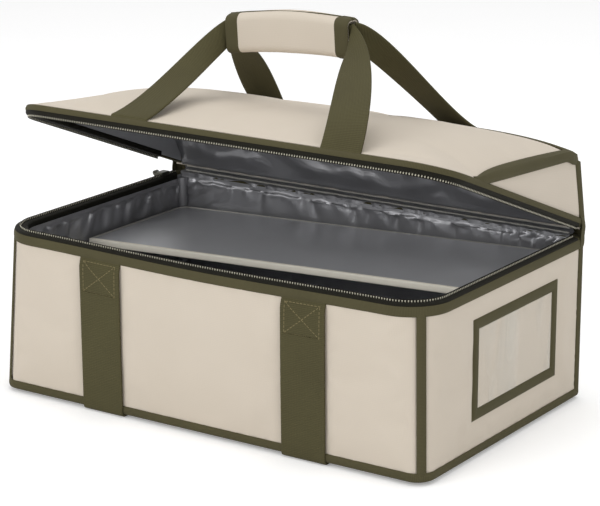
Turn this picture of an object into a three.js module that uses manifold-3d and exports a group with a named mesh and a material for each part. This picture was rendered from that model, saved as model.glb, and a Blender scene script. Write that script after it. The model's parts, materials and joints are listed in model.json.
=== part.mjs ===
// Soft insulated delivery bag: a padded box whose zipped lid is hinged on the back rim,
// with webbing straps, a padded grip, a label window and a loose divider shelf.
// Millimetres, +Z up, front towards -Y, origin on the floor under the middle of the base.
import * as THREE from 'three';
import { mergeVertices } from 'three/addons/utils/BufferGeometryUtils.js';
import Module from 'manifold-3d';

const wasm = await Module();
wasm.setup();

// Box
const bagWidth = 490;
const bagDepth = 298;
const rimHeight = 166;
const frontRadiusBase = 16;
const frontRadiusRim = 42;
const backRadius = 4;

// Wall layers, from outside to inside
const skinThickness = 1.2;
const foamThickness = 8;
const liningThickness = 0.8;
const boardThickness = 2.5;
const layerGap = 0.3;

// Edge binding tape
const tapeThickness = 1.2;
const rimTapeHeight = 11;
const baseTapeHeight = 9;
const baseTapeUnder = 10;
const baseTapeChamfer = 0.6;
const cornerTapeWidth = 10;
const seamTapeHeight = 11;

// Webbing straps round the box
const webWidth = 48;
const webThickness = 2;
const strapSpacing = 234;
const strapBend = 3.2;

// Zip
const zipGap = 6;
const zipInset = 4;
const coilWidth = 3.4;
const coilHeight = 1.8;
const zipTapeWidth = 1;
const zipMeshGap = 0.2;
const zipEndFromBack = 18;
const sliderFromBack = 36;
const sliderSize = { x: 8, y: 13 };
const pullReach = 5;
const pullWidth = 5;
const pullThickness = 1.4;
const pullLength = 26;
const bailBar = 1.4;
const bailArm = 1.4;

// Lid, given as it lies when closed
const lidOpenAngle = 21.5;
const lidEdgeHeight = 13;
const lidBackHeight = 69;
const lidBackLean = 46;
const lidBackCrown = 6;
const lidBulge = 16;
const lidShoulderSharpness = 6;
const lidShoulderEase = 0.9;
const lidSeamAllowance = 1;
const lidLayerEase = 0.5;
const lidPastBack = 0.2;
const sideSeamFromFront = 68;
const hingeOutside = 2.2;
const hingeStripThickness = 0.6;
const hingeStripHeight = 12;
const hingeFoldGap = 0.48;

// Handle
const gripLength = 140;
const gripHeight = 34;
const gripThickness = 22;
const gripPadding = 5.5;
const gripRound = 6;
const gripFromHinge = 147;
const gripAboveRim = 197;
const gripTilt = 3.5; // degrees; the grip hangs a little askew, its right end higher
const gripTail = 8;
const closureStrip = { width: 11, thickness: 0.6, endMargin: 18 };
const webPastGrip = 3;
const frontLegShift = 20;
const legWidth = 42;
const legLift = { front: 28, back: 48 };
const legReach = { base: 34, x: 8, y: 14, z: 10 };
const legTwistStart = 0.45;

// Label window on the right end
const windowSize = { y: 162, z: 98 };
const windowCentre = { y: 16, z: 86 };
const windowBar = 13;
const windowFilmThickness = 0.3;

// Divider shelf
const shelfThickness = 5;
const shelfBelowRim = 28;
const shelfTilt = 2.5;
const shelfFront = -29;
const shelfEdgeDepth = 4;
const shelfCornerCut = 6;

// Colours of the real materials
const canvasColour = 0xd6cbbb;
const oliveColour = 0x55533c;
const liningColour = 0x77787b;
const foamColour = 0xe9e6df;
const boardColour = 0x8a8173;
const metalColour = 0x8f8d86;
const filmColour = 0xdedad2;
const coilColour = 0x3a3a33;

// Places worked out from the sizes above
const radians = Math.PI / 180;
const halfWidth = bagWidth / 2;
const halfDepth = bagDepth / 2;
const foamOuter = skinThickness + layerGap;
const foamInner = foamOuter + foamThickness;
const liningOuter = foamInner + layerGap;
const liningInner = liningOuter + liningThickness;
const liningClear = liningInner + layerGap + lidLayerEase;
const tapeInner = layerGap;
const tapeOuter = layerGap + tapeThickness;
const webInner = tapeOuter + layerGap;
const webOuter = webInner + webThickness;
const baseTapeZ = webThickness + layerGap;
const wallBottom = baseTapeZ + tapeThickness + layerGap;
const wallTop = rimHeight - tapeThickness - layerGap;
const boardZ = wallBottom + skinThickness + layerGap;
const baseFoamZ = boardZ + boardThickness + layerGap;
const baseLiningZ = baseFoamZ + foamThickness + layerGap;
const wallLiningZ = baseLiningZ + liningThickness + layerGap;
const rimTapeBottom = rimHeight - rimTapeHeight;
const baseTapeTop = baseTapeZ + baseTapeHeight;
const hinge = { y: halfDepth + hingeOutside, z: rimHeight + zipGap / 2 };
const lidRimZ = rimHeight + zipGap;
const lidWallZ = lidRimZ + tapeThickness + layerGap;
const lidTapeTop = lidRimZ + rimTapeHeight;
const lidEdgeZ = lidRimZ + lidEdgeHeight;
const lidBackTop = { y: halfDepth - lidBackLean, z: lidRimZ + lidBackHeight };
const sideSeamEnd = -halfDepth + sideSeamFromFront;
const leanPerHeight = lidBackLean / lidBackHeight;
const leanStretch = Math.hypot(1, leanPerHeight);
const gripCentre = { y: hinge.y - gripFromHinge, z: hinge.z + gripAboveRim };
const gripCavity = { y: gripThickness / 2 - gripPadding, z: gripHeight / 2 - gripPadding };
const webRun = {
  inner: layerGap,
  outer: gripCavity.y - layerGap,
  halfHeight: gripCavity.z - layerGap,
  halfLength: gripLength / 2 + webPastGrip,
};

const vec = (x, y, z) => new THREE.Vector3(x, y, z);

// Closed solids from rows of points
function solid(points, triangles) {
  const geometry = new THREE.BufferGeometry();
  const positions = points.flatMap((p) => p.toArray());
  geometry.setAttribute('position', new THREE.Float32BufferAttribute(positions, 3));
  let volume = 0;
  for (const [a, b, c] of triangles) {
    volume += points[a].dot(points[b].clone().cross(points[c]));
  }
  const index = volume > 0 ? triangles : triangles.map(([a, b, c]) => [a, c, b]);
  geometry.setIndex(index.flat());
  return geometry;
}

// A body through a row of rings that each have the same number of points
function loft(rings, closed = false) {
  const count = rings[0].length;
  const triangles = [];
  const lastRing = closed ? rings.length : rings.length - 1;
  for (let i = 0; i < lastRing; i += 1) {
    const here = i * count;
    const next = ((i + 1) % rings.length) * count;
    for (let j = 0; j < count; j += 1) {
      const k = (j + 1) % count;
      triangles.push([here + j, next + j, next + k], [here + j, next + k, here + k]);
    }
  }
  return { points: rings.flat(), triangles, count, rings: rings.length };
}

// Caps an open loft with the triangles of its flat section
function capped(body, section) {
  const flat = section.map(([a, b]) => new THREE.Vector2(a, b));
  const faces = THREE.ShapeUtils.triangulateShape(flat, []);
  const end = (body.rings - 1) * body.count;
  const turn = THREE.ShapeUtils.isClockWise(flat) ? -1 : 1;
  for (const [a, b, c] of faces) {
    body.triangles.push(turn > 0 ? [a, b, c] : [a, c, b]);
    body.triangles.push(turn > 0 ? [end + a, end + c, end + b] : [end + a, end + b, end + c]);
  }
  return body;
}

// A sheet with thickness: two matching grids of points, joined round the edge
function slab(outer, inner) {
  const columns = outer.length;
  const rows = outer[0].length;
  const points = [...outer.flat(), ...inner.flat()];
  const at = (side, i, j) => side * columns * rows + i * rows + j;
  const triangles = [];
  for (let i = 0; i + 1 < columns; i += 1) {
    for (let j = 0; j + 1 < rows; j += 1) {
      const [a, b, c, d] = [at(0, i, j), at(0, i + 1, j), at(0, i + 1, j + 1), at(0, i, j + 1)];
      triangles.push([a, b, c], [a, c, d]);
      const [e, f, g, h] = [at(1, i, j), at(1, i + 1, j), at(1, i + 1, j + 1), at(1, i, j + 1)];
      triangles.push([e, g, f], [e, h, g]);
    }
  }
  const rim = [];
  for (let i = 0; i + 1 < columns; i += 1) {
    rim.push([i, 0]);
  }
  for (let j = 0; j + 1 < rows; j += 1) {
    rim.push([columns - 1, j]);
  }
  for (let i = columns - 1; i > 0; i -= 1) {
    rim.push([i, rows - 1]);
  }
  for (let j = rows - 1; j > 0; j -= 1) {
    rim.push([0, j]);
  }
  rim.forEach(([i, j], n) => {
    const [k, l] = rim[(n + 1) % rim.length];
    triangles.push([at(0, i, j), at(1, i, j), at(1, k, l)], [at(0, i, j), at(1, k, l), at(0, k, l)]);
  });
  return solid(points, triangles);
}

// A flat outline made solid along X, given as y, z pairs
function plateAlongX(outline, x0, x1) {
  const rings = [x0, x1].map((x) => outline.map(([y, z]) => vec(x, y, z)));
  const body = capped(loft(rings), outline);
  return solid(body.points, body.triangles);
}

// A flat outline made solid along Z, given as x, y pairs
function plateAlongZ(outline, z0, z1) {
  const rings = [z0, z1].map((z) => outline.map(([x, y]) => vec(x, y, z)));
  const body = capped(loft(rings), outline);
  return solid(body.points, body.triangles);
}

function box(low, high) {
  const size = high.clone().sub(low);
  const middle = high.clone().add(low).multiplyScalar(0.5);
  return new THREE.BoxGeometry(size.x, size.y, size.z).translate(middle.x, middle.y, middle.z);
}

// Solids joined by manifold
function toManifold(geometry) {
  const bare = geometry.clone();
  bare.deleteAttribute('normal');
  bare.deleteAttribute('uv');
  const merged = mergeVertices(bare);
  const vertProperties = new Float32Array(merged.attributes.position.array);
  const triVerts = new Uint32Array(merged.index.array);
  return new wasm.Manifold(new wasm.Mesh({ numProp: 3, vertProperties, triVerts }));
}

function joined(geometries) {
  const whole = geometries.map(toManifold).reduce((sum, next) => sum.add(next));
  const mesh = whole.getMesh();
  const geometry = new THREE.BufferGeometry();
  geometry.setAttribute('position', new THREE.BufferAttribute(mesh.vertProperties, 3));
  geometry.setIndex(new THREE.BufferAttribute(mesh.triVerts, 1));
  return geometry;
}

// Plan outline of the box: rounded corners that open up from the base to the rim
const corners = {
  frontLeft: { x: -1, y: -1, from: 180, steps: 8 },
  frontRight: { x: 1, y: -1, from: 270, steps: 8 },
  backRight: { x: 1, y: 1, from: 0, steps: 4 },
  backLeft: { x: -1, y: 1, from: 90, steps: 4 },
};
const leastRadius = 0.4;
const mostTrim = 40;

function cornerRadius(corner, offset, z) {
  const share = THREE.MathUtils.clamp(z / rimHeight, 0, 1);
  const front = THREE.MathUtils.lerp(frontRadiusBase, frontRadiusRim, share);
  return Math.max((corner.y < 0 ? front : backRadius) + offset, leastRadius);
}

function cornerPoint(corner, angle, offset, z) {
  const radius = cornerRadius(corner, offset, z);
  const x = corner.x * (halfWidth + offset - radius) + radius * Math.cos(angle * radians);
  const y = corner.y * (halfDepth + offset - radius) + radius * Math.sin(angle * radians);
  return vec(x, y, z);
}

function cornerArc(corner, start, end, offset, z) {
  const steps = Math.round((corner.steps * (end - start)) / 90) || corner.steps;
  const arc = [];
  for (let i = 0; i <= steps; i += 1) {
    arc.push(cornerPoint(corner, THREE.MathUtils.lerp(start, end, i / steps), offset, z));
  }
  return arc;
}

// The whole outline, counter-clockwise from the front left corner
function outline(offset, z) {
  return Object.values(corners).flatMap((corner) => (
    cornerArc(corner, corner.from, corner.from + 90, offset, z)
  ));
}

const outlinePairs = (offset, z) => outline(offset, z).map((p) => [p.x, p.y]);

// One wall's share of the outline, from mid corner to mid corner less the seam gap
const wallEnds = {
  front: ['frontLeft', 'frontRight'],
  right: ['frontRight', 'backRight'],
  back: ['backRight', 'backLeft'],
  left: ['backLeft', 'frontLeft'],
};

function wallPath(side, offset, z) {
  const [first, last] = wallEnds[side].map((name) => corners[name]);
  const trim = (corner) => layerGap / cornerRadius(corner, offset, z) / radians;
  const start = cornerHalf(first, 45 + Math.min(trim(first), mostTrim), 90, offset, z);
  const end = cornerHalf(last, 0, 45 - Math.min(trim(last), mostTrim), offset, z);
  return [...start, ...end];
}

function cornerHalf(corner, start, end, offset, z) {
  const steps = corner.steps / 2;
  const arc = [];
  for (let i = 0; i <= steps; i += 1) {
    const angle = corner.from + THREE.MathUtils.lerp(start, end, i / steps);
    arc.push(cornerPoint(corner, angle, offset, z));
  }
  return arc;
}

function wall(side, outerInset, innerInset, z0, z1) {
  const grid = (inset) => {
    const low = wallPath(side, -inset, z0);
    const high = wallPath(side, -inset, z1);
    return low.map((p, i) => [p, high[i]]);
  };
  return slab(grid(outerInset), grid(innerInset));
}

// A tape or moulding all round the outline; its section is offset, height pairs
function hoop(section) {
  const columns = section.map(([offset, z]) => outline(offset, z));
  const rings = columns[0].map((_, i) => columns.map((column) => column[i]));
  const body = loft(rings, true);
  return solid(body.points, body.triangles);
}

// The same along the left, front and right sides only
function zipPath(offset, z) {
  const start = vec(-halfWidth - offset, halfDepth - sliderFromBack - sliderSize.y / 2 - layerGap, z);
  const end = vec(halfWidth + offset, halfDepth - zipEndFromBack, z);
  const left = cornerArc(corners.frontLeft, 180, 270, offset, z);
  const right = cornerArc(corners.frontRight, 270, 360, offset, z);
  return [start, ...left, ...right, end];
}

function zipRun(section) {
  const columns = section.map(([offset, z]) => zipPath(offset, z));
  const rings = columns[0].map((_, i) => columns.map((column) => column[i]));
  const body = capped(loft(rings), section);
  return solid(body.points, body.triangles);
}

// One half of the zip: tape edge on the binding, coil along its free edge
function zipSection(seat, mesh) {
  const way = Math.sign(mesh - seat);
  const coilStart = mesh - way * coilHeight;
  const coil = coilWidth / 2;
  const stem = zipTapeWidth / 2;
  return [
    [-zipInset - stem, seat + way * layerGap],
    [-zipInset + stem, seat + way * layerGap],
    [-zipInset + stem, coilStart],
    [-zipInset + coil, coilStart],
    [-zipInset + coil, mesh],
    [-zipInset - coil, mesh],
    [-zipInset - coil, coilStart],
    [-zipInset - stem, coilStart],
  ];
}

// A tape that stands over one corner seam
function cornerTape(corner, z0, z1) {
  const middle = corner.from + 45;
  const grid = (offset) => {
    const column = (share) => [z0, z1].map((z) => {
      const spread = cornerTapeWidth / 2 / (cornerRadius(corner, 0, z) * radians);
      return cornerPoint(corner, middle + share * Math.min(spread, 45), offset, z);
    });
    return [-1, -0.5, 0, 0.5, 1].map(column);
  };
  return slab(grid(tapeOuter), grid(tapeInner));
}

// Lid shape, closed: a crowned top that falls to the rim at the front and to seams at the sides
function frontEdge(x, inset) {
  const radius = cornerRadius(corners.frontLeft, -inset, rimHeight);
  const past = Math.max(Math.abs(x) - (halfWidth - inset - radius), 0);
  const drop = radius - Math.sqrt(Math.max(radius * radius - past * past, 0));
  return -(halfDepth - inset) + drop;
}

function sideSeam(y) {
  const share = (y - sideSeamEnd) / (lidBackTop.y - sideSeamEnd);
  return lidEdgeZ + Math.max(share, 0) * (lidBackTop.z - lidEdgeZ);
}

function shoulder(x) {
  const share = Math.min(Math.abs(x) / halfWidth, 1);
  return (1 - share ** lidShoulderSharpness) ** lidShoulderEase;
}

function lidTop(x, y) {
  const front = frontEdge(Math.min(Math.abs(x), halfWidth), 0);
  const t = THREE.MathUtils.clamp((lidBackTop.y - y) / (lidBackTop.y - front), -lidPastBack, 1);
  const rise = lidBackTop.z + lidBackCrown - lidEdgeZ;
  const middle = lidEdgeZ + rise * (1 - t) + lidBulge * 4 * t * (1 - t);
  const side = sideSeam(y);
  return side + (middle - side) * shoulder(x);
}

// The leaning back plane, moved in by an inset, and where it meets the underside of the top
const backPlane = (z, inset) => halfDepth - inset * leanStretch - (z - lidRimZ) * leanPerHeight;

function backMeetsTop(x, inset, drop) {
  let low = lidRimZ;
  let high = lidRimZ + lidBackHeight * 2;
  for (let i = 0; i < 40; i += 1) {
    const z = (low + high) / 2;
    if (z < lidTop(x, backPlane(z, inset)) - drop) {
      low = z;
    } else {
      high = z;
    }
  }
  return vec(x, backPlane(low, inset), low);
}

// Columns across the lid, closer together at the rounded corners
function lidColumns(inset) {
  const radius = cornerRadius(corners.frontLeft, -inset, rimHeight);
  const flat = halfWidth - inset - radius;
  const round = [0, 20, 40, 60, 75, 90].map((angle) => flat + radius * Math.sin(angle * radians));
  const half = [flat / 3, (flat * 2) / 3, ...round];
  return [...half.map((x) => -x).reverse(), 0, ...half];
}

const lidRows = [0, 0.08, 0.2, 0.35, 0.5, 0.65, 0.8, 0.92, 1];

// Every layer of the top follows the outer skin's grid, drawn in and dropped
function lidTopLayer(outerDrop, innerDrop, inset) {
  const drawnIn = (halfWidth - inset) / halfWidth;
  const grid = (drop) => lidColumns(0).map((x) => {
    const skin = { back: backMeetsTop(x, 0, 0).y, front: frontEdge(x, 0) };
    const layer = { back: backMeetsTop(x, inset, 0).y, front: frontEdge(x * drawnIn, inset) };
    return lidRows.map((t) => {
      const y = THREE.MathUtils.lerp(layer.back, layer.front, t);
      const skinTop = lidTop(x, THREE.MathUtils.lerp(skin.back, skin.front, t));
      return vec(x * drawnIn, y, Math.min(skinTop, lidTop(x * drawnIn, y)) - drop);
    });
  });
  return slab(grid(outerDrop), grid(innerDrop));
}

function lidBackLayer(outerInset, innerInset, sideInset, drop) {
  const grid = (inset) => lidColumns(sideInset).map((x) => {
    const foot = vec(x, backPlane(lidWallZ, inset), lidWallZ);
    return [foot, backMeetsTop(x, inset, drop)];
  });
  return slab(grid(outerInset), grid(innerInset));
}

function lidSideLayer(sign, outerInset, innerInset, backInset, drop) {
  const peak = backMeetsTop(halfWidth, backInset, drop);
  const frontY = -halfDepth + frontRadiusRim;
  const points = [
    [backPlane(lidWallZ, backInset), lidWallZ],
    [peak.y, peak.z],
    [sideSeamEnd, lidEdgeZ - drop],
    [frontY, lidEdgeZ - drop],
    [frontY, lidWallZ],
  ];
  const [x0, x1] = [sign * (halfWidth - outerInset), sign * (halfWidth - innerInset)];
  return plateAlongX(points, x0, x1);
}

// Tape over the side seams and the back edge of the lid's top, as one run
function lidSeamTape() {
  const lowest = lidTapeTop + layerGap;
  const fullDrop = lowest + seamTapeHeight;
  const seamRun = (lidBackTop.y - sideSeamEnd) / (lidBackTop.z - lidEdgeZ);
  const startY = sideSeamEnd + (lowest + layerGap * 2 - lidEdgeZ) * seamRun + seamTapeHeight / 2;
  const fullY = sideSeamEnd + (fullDrop - lidEdgeZ) * seamRun;
  const corner = [
    [tapeInner, 0],
    [tapeOuter, 0],
    [tapeOuter, seamTapeHeight],
    [tapeInner, seamTapeHeight],
  ];
  const sideRing = (sign, y, most) => corner.map(([offset, drop]) => {
    const seam = sideSeam(y);
    return vec(sign * (halfWidth + offset), y, seam - Math.min(drop, most));
  });
  const backRing = (x) => corner.map(([offset, drop]) => backMeetsTop(x, -offset, drop));
  const cornerRing = (sign) => corner.map(([offset, drop]) => (
    backMeetsTop(sign * (halfWidth + offset), -offset, drop)
  ));
  const startDrop = sideSeam(startY) - lowest;
  const side = (sign) => [
    sideRing(sign, startY, startDrop),
    sideRing(sign, fullY, seamTapeHeight),
    cornerRing(sign),
  ];
  const across = lidColumns(cornerTapeWidth).map(backRing);
  const body = capped(loft([...side(-1), ...across, ...side(1).reverse()]), corner);
  return solid(body.points, body.triangles);
}

function lidCornerTape(sign) {
  const low = lidTapeTop + layerGap;
  const peak = backMeetsTop(halfWidth, 0, seamTapeHeight + layerGap * 2);
  const outlineYZ = [
    [backPlane(low, 0), low],
    [peak.y, peak.z],
    [peak.y - cornerTapeWidth, peak.z - cornerTapeWidth * leanPerHeight],
    [backPlane(low, 0) - cornerTapeWidth, low],
  ];
  return plateAlongX(outlineYZ, sign * (halfWidth + tapeInner), sign * (halfWidth + tapeOuter));
}

// Points of the closed lid, carried to where they stand with the lid open
function opened(point) {
  const axis = vec(0, hinge.y, hinge.z);
  return point.clone().sub(axis).applyAxisAngle(vec(1, 0, 0), -lidOpenAngle * radians).add(axis);
}

// The grip's own pieces turn about its centre
function askew(geometry) {
  return geometry
    .translate(0, -gripCentre.y, -gripCentre.z)
    .rotateY(-gripTilt * radians)
    .translate(0, gripCentre.y, gripCentre.z);
}

// One leg of webbing from the lid to the grip: flat on the lid, on edge at the grip
function handleLeg(end, side) {
  const front = end === 'front';
  const x = side * (strapSpacing / 2) + (front ? frontLegShift : 0);
  const lift = layerGap + webThickness / 2;
  const seatY = front ? frontEdge(x, 0) + webThickness : backMeetsTop(x, 0, 0).y - webThickness;
  const foot = opened(vec(x, seatY, lidTop(x, seatY))).add(vec(0, 0, lift));
  const ySign = front ? -1 : 1;
  const webMiddle = (ySign * (webRun.inner + webRun.outer)) / 2;
  const depthAxis = vec(0, 1, 0);
  const tip = vec(side * (webRun.halfLength + layerGap), webMiddle, 0)
    .applyAxisAngle(depthAxis, -gripTilt * radians)
    .add(vec(0, gripCentre.y, gripCentre.z));
  const slope = legLift[end] * radians;
  const rising = vec(0, -ySign * Math.cos(slope), Math.sin(slope));
  const footHandle = foot.clone().addScaledVector(rising, legReach.base);
  const tipHandle = tip.clone().add(vec(side * legReach.x, ySign * legReach.y, -legReach.z));
  const route = new THREE.CubicBezierCurve3(foot, footHandle, tipHandle, tip);
  const steps = 16;
  const webSection = { width: webRun.halfHeight * 2, thickness: webRun.outer - webRun.inner };
  const upper = [];
  const lower = [];
  for (let i = 0; i <= steps; i += 1) {
    const t = i / steps;
    const tangent = route.getTangent(t);
    const turn = THREE.MathUtils.smoothstep(t, legTwistStart, 1);
    const across = vec(Math.cos((turn * Math.PI) / 2), 0, side * Math.sin((turn * Math.PI) / 2))
      .applyAxisAngle(depthAxis, -gripTilt * radians * turn);
    const normal = i < steps ? tangent.clone().cross(across).normalize() : depthAxis;
    const halfW = THREE.MathUtils.lerp(legWidth, webSection.width, turn) / 2;
    const halfT = THREE.MathUtils.lerp(webThickness, webSection.thickness, t ** 3) / 2;
    const middle = route.getPoint(t);
    const row = (face) => [-1, -0.5, 0, 0.5, 1].map((share) => (
      middle.clone().addScaledVector(across, share * halfW).addScaledVector(normal, face * halfT)
    ));
    upper.push(row(1));
    lower.push(row(-1));
  }
  return slab(upper, lower);
}

// Half of the padded wrap round the webbing, as y, z pairs about the grip's centre
function wrapHalf(sign, tail) {
  const edge = (inset) => {
    const y = gripThickness / 2 - inset;
    const z = gripHeight / 2 - inset;
    const r = Math.max(gripRound - inset, leastRadius);
    const bend = (cy, cz, from) => [0, 22.5, 45, 67.5, 90].map((step) => {
      const angle = (from - step) * radians;
      return [sign * (cy + r * Math.cos(angle)), cz + r * Math.sin(angle)];
    });
    return [[sign * (layerGap / 2), z], ...bend(y - r, z - r, 90), ...bend(y - r, tail + r - z, 0)];
  };
  const outside = edge(0);
  const inside = edge(gripPadding);
  return { outside, inside };
}

function gripPad() {
  const { outside, inside } = wrapHalf(1, 0);
  const bottom = gripHeight / 2;
  const points = [
    ...outside,
    [layerGap / 2, -bottom],
    [layerGap / 2, -bottom + gripPadding],
    ...inside.reverse(),
  ];
  return points;
}

function gripFlap() {
  const drop = closureStrip.thickness * 2 + layerGap * 3 + gripPadding;
  const { outside, inside } = wrapHalf(-1, -drop);
  const bottom = gripHeight / 2 + drop;
  return [
    ...outside,
    [gripTail, -bottom],
    [gripTail, -bottom + gripPadding],
    ...inside.reverse(),
  ];
}

function onGrip(points) {
  const placed = points.map(([y, z]) => [y + gripCentre.y, z + gripCentre.z]);
  return plateAlongX(placed, -gripLength / 2, gripLength / 2);
}

function closure(order) {
  const step = closureStrip.thickness + layerGap;
  const top = gripCentre.z - gripHeight / 2 - layerGap - order * step;
  const x = gripLength / 2 - closureStrip.endMargin;
  const y = gripCentre.y + gripTail;
  return box(vec(-x, y - closureStrip.width, top - closureStrip.thickness), vec(x, y, top));
}

function webThroughGrip(ySign) {
  const [y0, y1] = [ySign * webRun.inner, ySign * webRun.outer].sort((a, b) => a - b);
  const low = vec(-webRun.halfLength, gripCentre.y + y0, gripCentre.z - webRun.halfHeight);
  const high = vec(webRun.halfLength, gripCentre.y + y1, gripCentre.z + webRun.halfHeight);
  return box(low, high);
}

// Strap from the front rim, under the base, to the back rim
function boxStrap(x) {
  const top = rimTapeBottom - layerGap;
  const half = (offset, floor, radius) => {
    const y = halfDepth + offset;
    const bend = [0, 30, 60, 90].map((step) => {
      const angle = -step * radians;
      return [y - radius + radius * Math.cos(angle), floor + radius + radius * Math.sin(angle)];
    });
    return [[y, top], ...bend];
  };
  const mirror = (points) => points.map(([y, z]) => [-y, z]).reverse();
  const outside = half(webOuter, 0, strapBend);
  const inside = half(webInner, webThickness, strapBend - webThickness);
  const points = [...outside, ...mirror(outside), ...mirror(inside).reverse(), ...inside.reverse()];
  return plateAlongX(points, x - webWidth / 2, x + webWidth / 2);
}

// Label window frame, a flat ring on the right end
function windowPlate(margin) {
  const y = windowSize.y / 2 - margin;
  const z = windowSize.z / 2 - margin;
  const [cy, cz] = [windowCentre.y, windowCentre.z];
  return [[cy - y, cz - z], [cy + y, cz - z], [cy + y, cz + z], [cy - y, cz + z]];
}

function windowFrame() {
  const [outer, inner] = [windowPlate(0), windowPlate(windowBar)];
  const [x0, x1] = [halfWidth + tapeInner, halfWidth + tapeOuter];
  const rings = outer.map((pair, i) => [
    vec(x0, ...pair),
    vec(x1, ...pair),
    vec(x1, ...inner[i]),
    vec(x0, ...inner[i]),
  ]);
  const body = loft(rings, true);
  return solid(body.points, body.triangles);
}

// Divider shelf, wedged between the end linings, a little askew
const shelfHalf = (() => {
  const tilt = shelfTilt * radians;
  const room = halfWidth - liningInner - layerGap;
  return (room - (shelfThickness / 2) * Math.sin(tilt)) / Math.cos(tilt);
})();

function shelfBoard() {
  const back = halfDepth - liningInner - layerGap;
  const front = shelfFront + shelfEdgeDepth + layerGap;
  const points = [
    [-shelfHalf, front],
    [shelfHalf, front],
    [shelfHalf, back - shelfCornerCut],
    [shelfHalf - shelfCornerCut, back],
    [-shelfHalf + shelfCornerCut, back],
    [-shelfHalf, back - shelfCornerCut],
  ];
  return plateAlongZ(points, -shelfThickness / 2, shelfThickness / 2);
}

function shelfEdge() {
  const z = shelfThickness / 2;
  return box(vec(-shelfHalf, shelfFront, -z), vec(shelfHalf, shelfFront + shelfEdgeDepth, z));
}

// Zip slider parked at the left end of the zip, with the bail that its pull hangs on
const slider = {
  x: -halfWidth,
  y: halfDepth - sliderFromBack,
  low: rimHeight + layerGap,
  high: lidRimZ - layerGap,
  barX: -halfWidth - pullReach,
  barZ: hinge.z,
};

function zipSlider() {
  const half = sliderSize.y / 2;
  const body = box(
    vec(slider.x, slider.y - half, slider.low),
    vec(slider.x + sliderSize.x, slider.y + half, slider.high),
  );
  const gap = pullWidth / 2 + layerGap;
  const bar = bailBar / 2;
  const arm = (way) => {
    const [y0, y1] = [way * gap, way * (gap + bailArm)].sort((a, b) => a - b);
    return box(
      vec(slider.barX - bar, slider.y + y0, slider.barZ - bar),
      vec(slider.x + bailArm, slider.y + y1, slider.barZ + bar),
    );
  };
  const reach = gap + bailArm / 2;
  const rod = box(
    vec(slider.barX - bar, slider.y - reach, slider.barZ - bar),
    vec(slider.barX + bar, slider.y + reach, slider.barZ + bar),
  );
  return joined([body, arm(-1), arm(1), rod]);
}

function zipPull() {
  const eye = bailBar / Math.SQRT2 + layerGap;
  const rim = eye + pullThickness;
  const tab = new THREE.Shape();
  tab.moveTo(pullThickness / 2, -pullLength);
  tab.lineTo(pullThickness / 2, -Math.sqrt(rim * rim - (pullThickness / 2) ** 2));
  const start = -Math.PI / 2 + Math.asin(pullThickness / 2 / rim);
  tab.absarc(0, 0, rim, start, Math.PI * 1.5 - Math.asin(pullThickness / 2 / rim), false);
  tab.lineTo(-pullThickness / 2, -pullLength);
  tab.closePath();
  const hole = new THREE.Path();
  hole.absarc(0, 0, eye, 0, Math.PI * 2, true);
  tab.holes.push(hole);
  const depth = { depth: pullWidth, bevelEnabled: false, curveSegments: 12 };
  const geometry = new THREE.ExtrudeGeometry(tab, depth);
  geometry.translate(0, 0, -pullWidth / 2);
  geometry.rotateX(Math.PI / 2);
  return geometry;
}

// Fabric hinge along the back rim: one strip on the box, one on the lid
function hingeStrip(z0, z1) {
  const x = halfWidth - backRadius;
  const y = hinge.y;
  const half = hingeStripThickness / 2;
  return box(vec(-x, y - half, z0), vec(x, y + half, z1));
}

// Assembly
const bag = new THREE.Group();
const lid = new THREE.Group();
lid.position.set(0, hinge.y, hinge.z);
lid.rotation.x = -lidOpenAngle * radians;
bag.add(lid);

function finish(colour, roughness, metalness = 0, opacity = 1) {
  const transparent = opacity < 1;
  return new THREE.MeshStandardMaterial({ color: colour, roughness, metalness, opacity, transparent });
}

function add(name, geometry, material, group = bag) {
  const mesh = new THREE.Mesh(geometry, material);
  mesh.name = name;
  group.add(mesh);
  return mesh;
}

// Lid pieces are drawn closed in the bag's frame, then carried to the hinge
function addToLid(name, geometry, material) {
  return add(name, geometry.translate(0, -hinge.y, -hinge.z), material, lid);
}

const canvas = () => finish(canvasColour, 0.85);
const olive = () => finish(oliveColour, 0.8);
const webbing = () => finish(oliveColour, 0.75);
const shiny = () => finish(liningColour, 0.35);
const foam = () => finish(foamColour, 0.95);

for (const side of Object.keys(wallEnds)) {
  add(`${side}_panel`, wall(side, 0, skinThickness, wallBottom, wallTop), canvas());
  add(`${side}_foam`, wall(side, foamOuter, foamInner, baseLiningZ, wallTop), foam());
  add(`${side}_lining`, wall(side, liningOuter, liningInner, wallLiningZ, wallTop), shiny());
}
function baseLayer(inset, z, thickness) {
  return plateAlongZ(outlinePairs(-inset, z + thickness), z, z + thickness);
}

add('base_panel', baseLayer(foamOuter, wallBottom, skinThickness), canvas());
add('base_board', baseLayer(foamOuter, boardZ, boardThickness), finish(boardColour, 0.9));
add('base_foam', baseLayer(foamOuter, baseFoamZ, foamThickness), foam());
add('base_lining', baseLayer(liningOuter, baseLiningZ, liningThickness), shiny());

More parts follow.
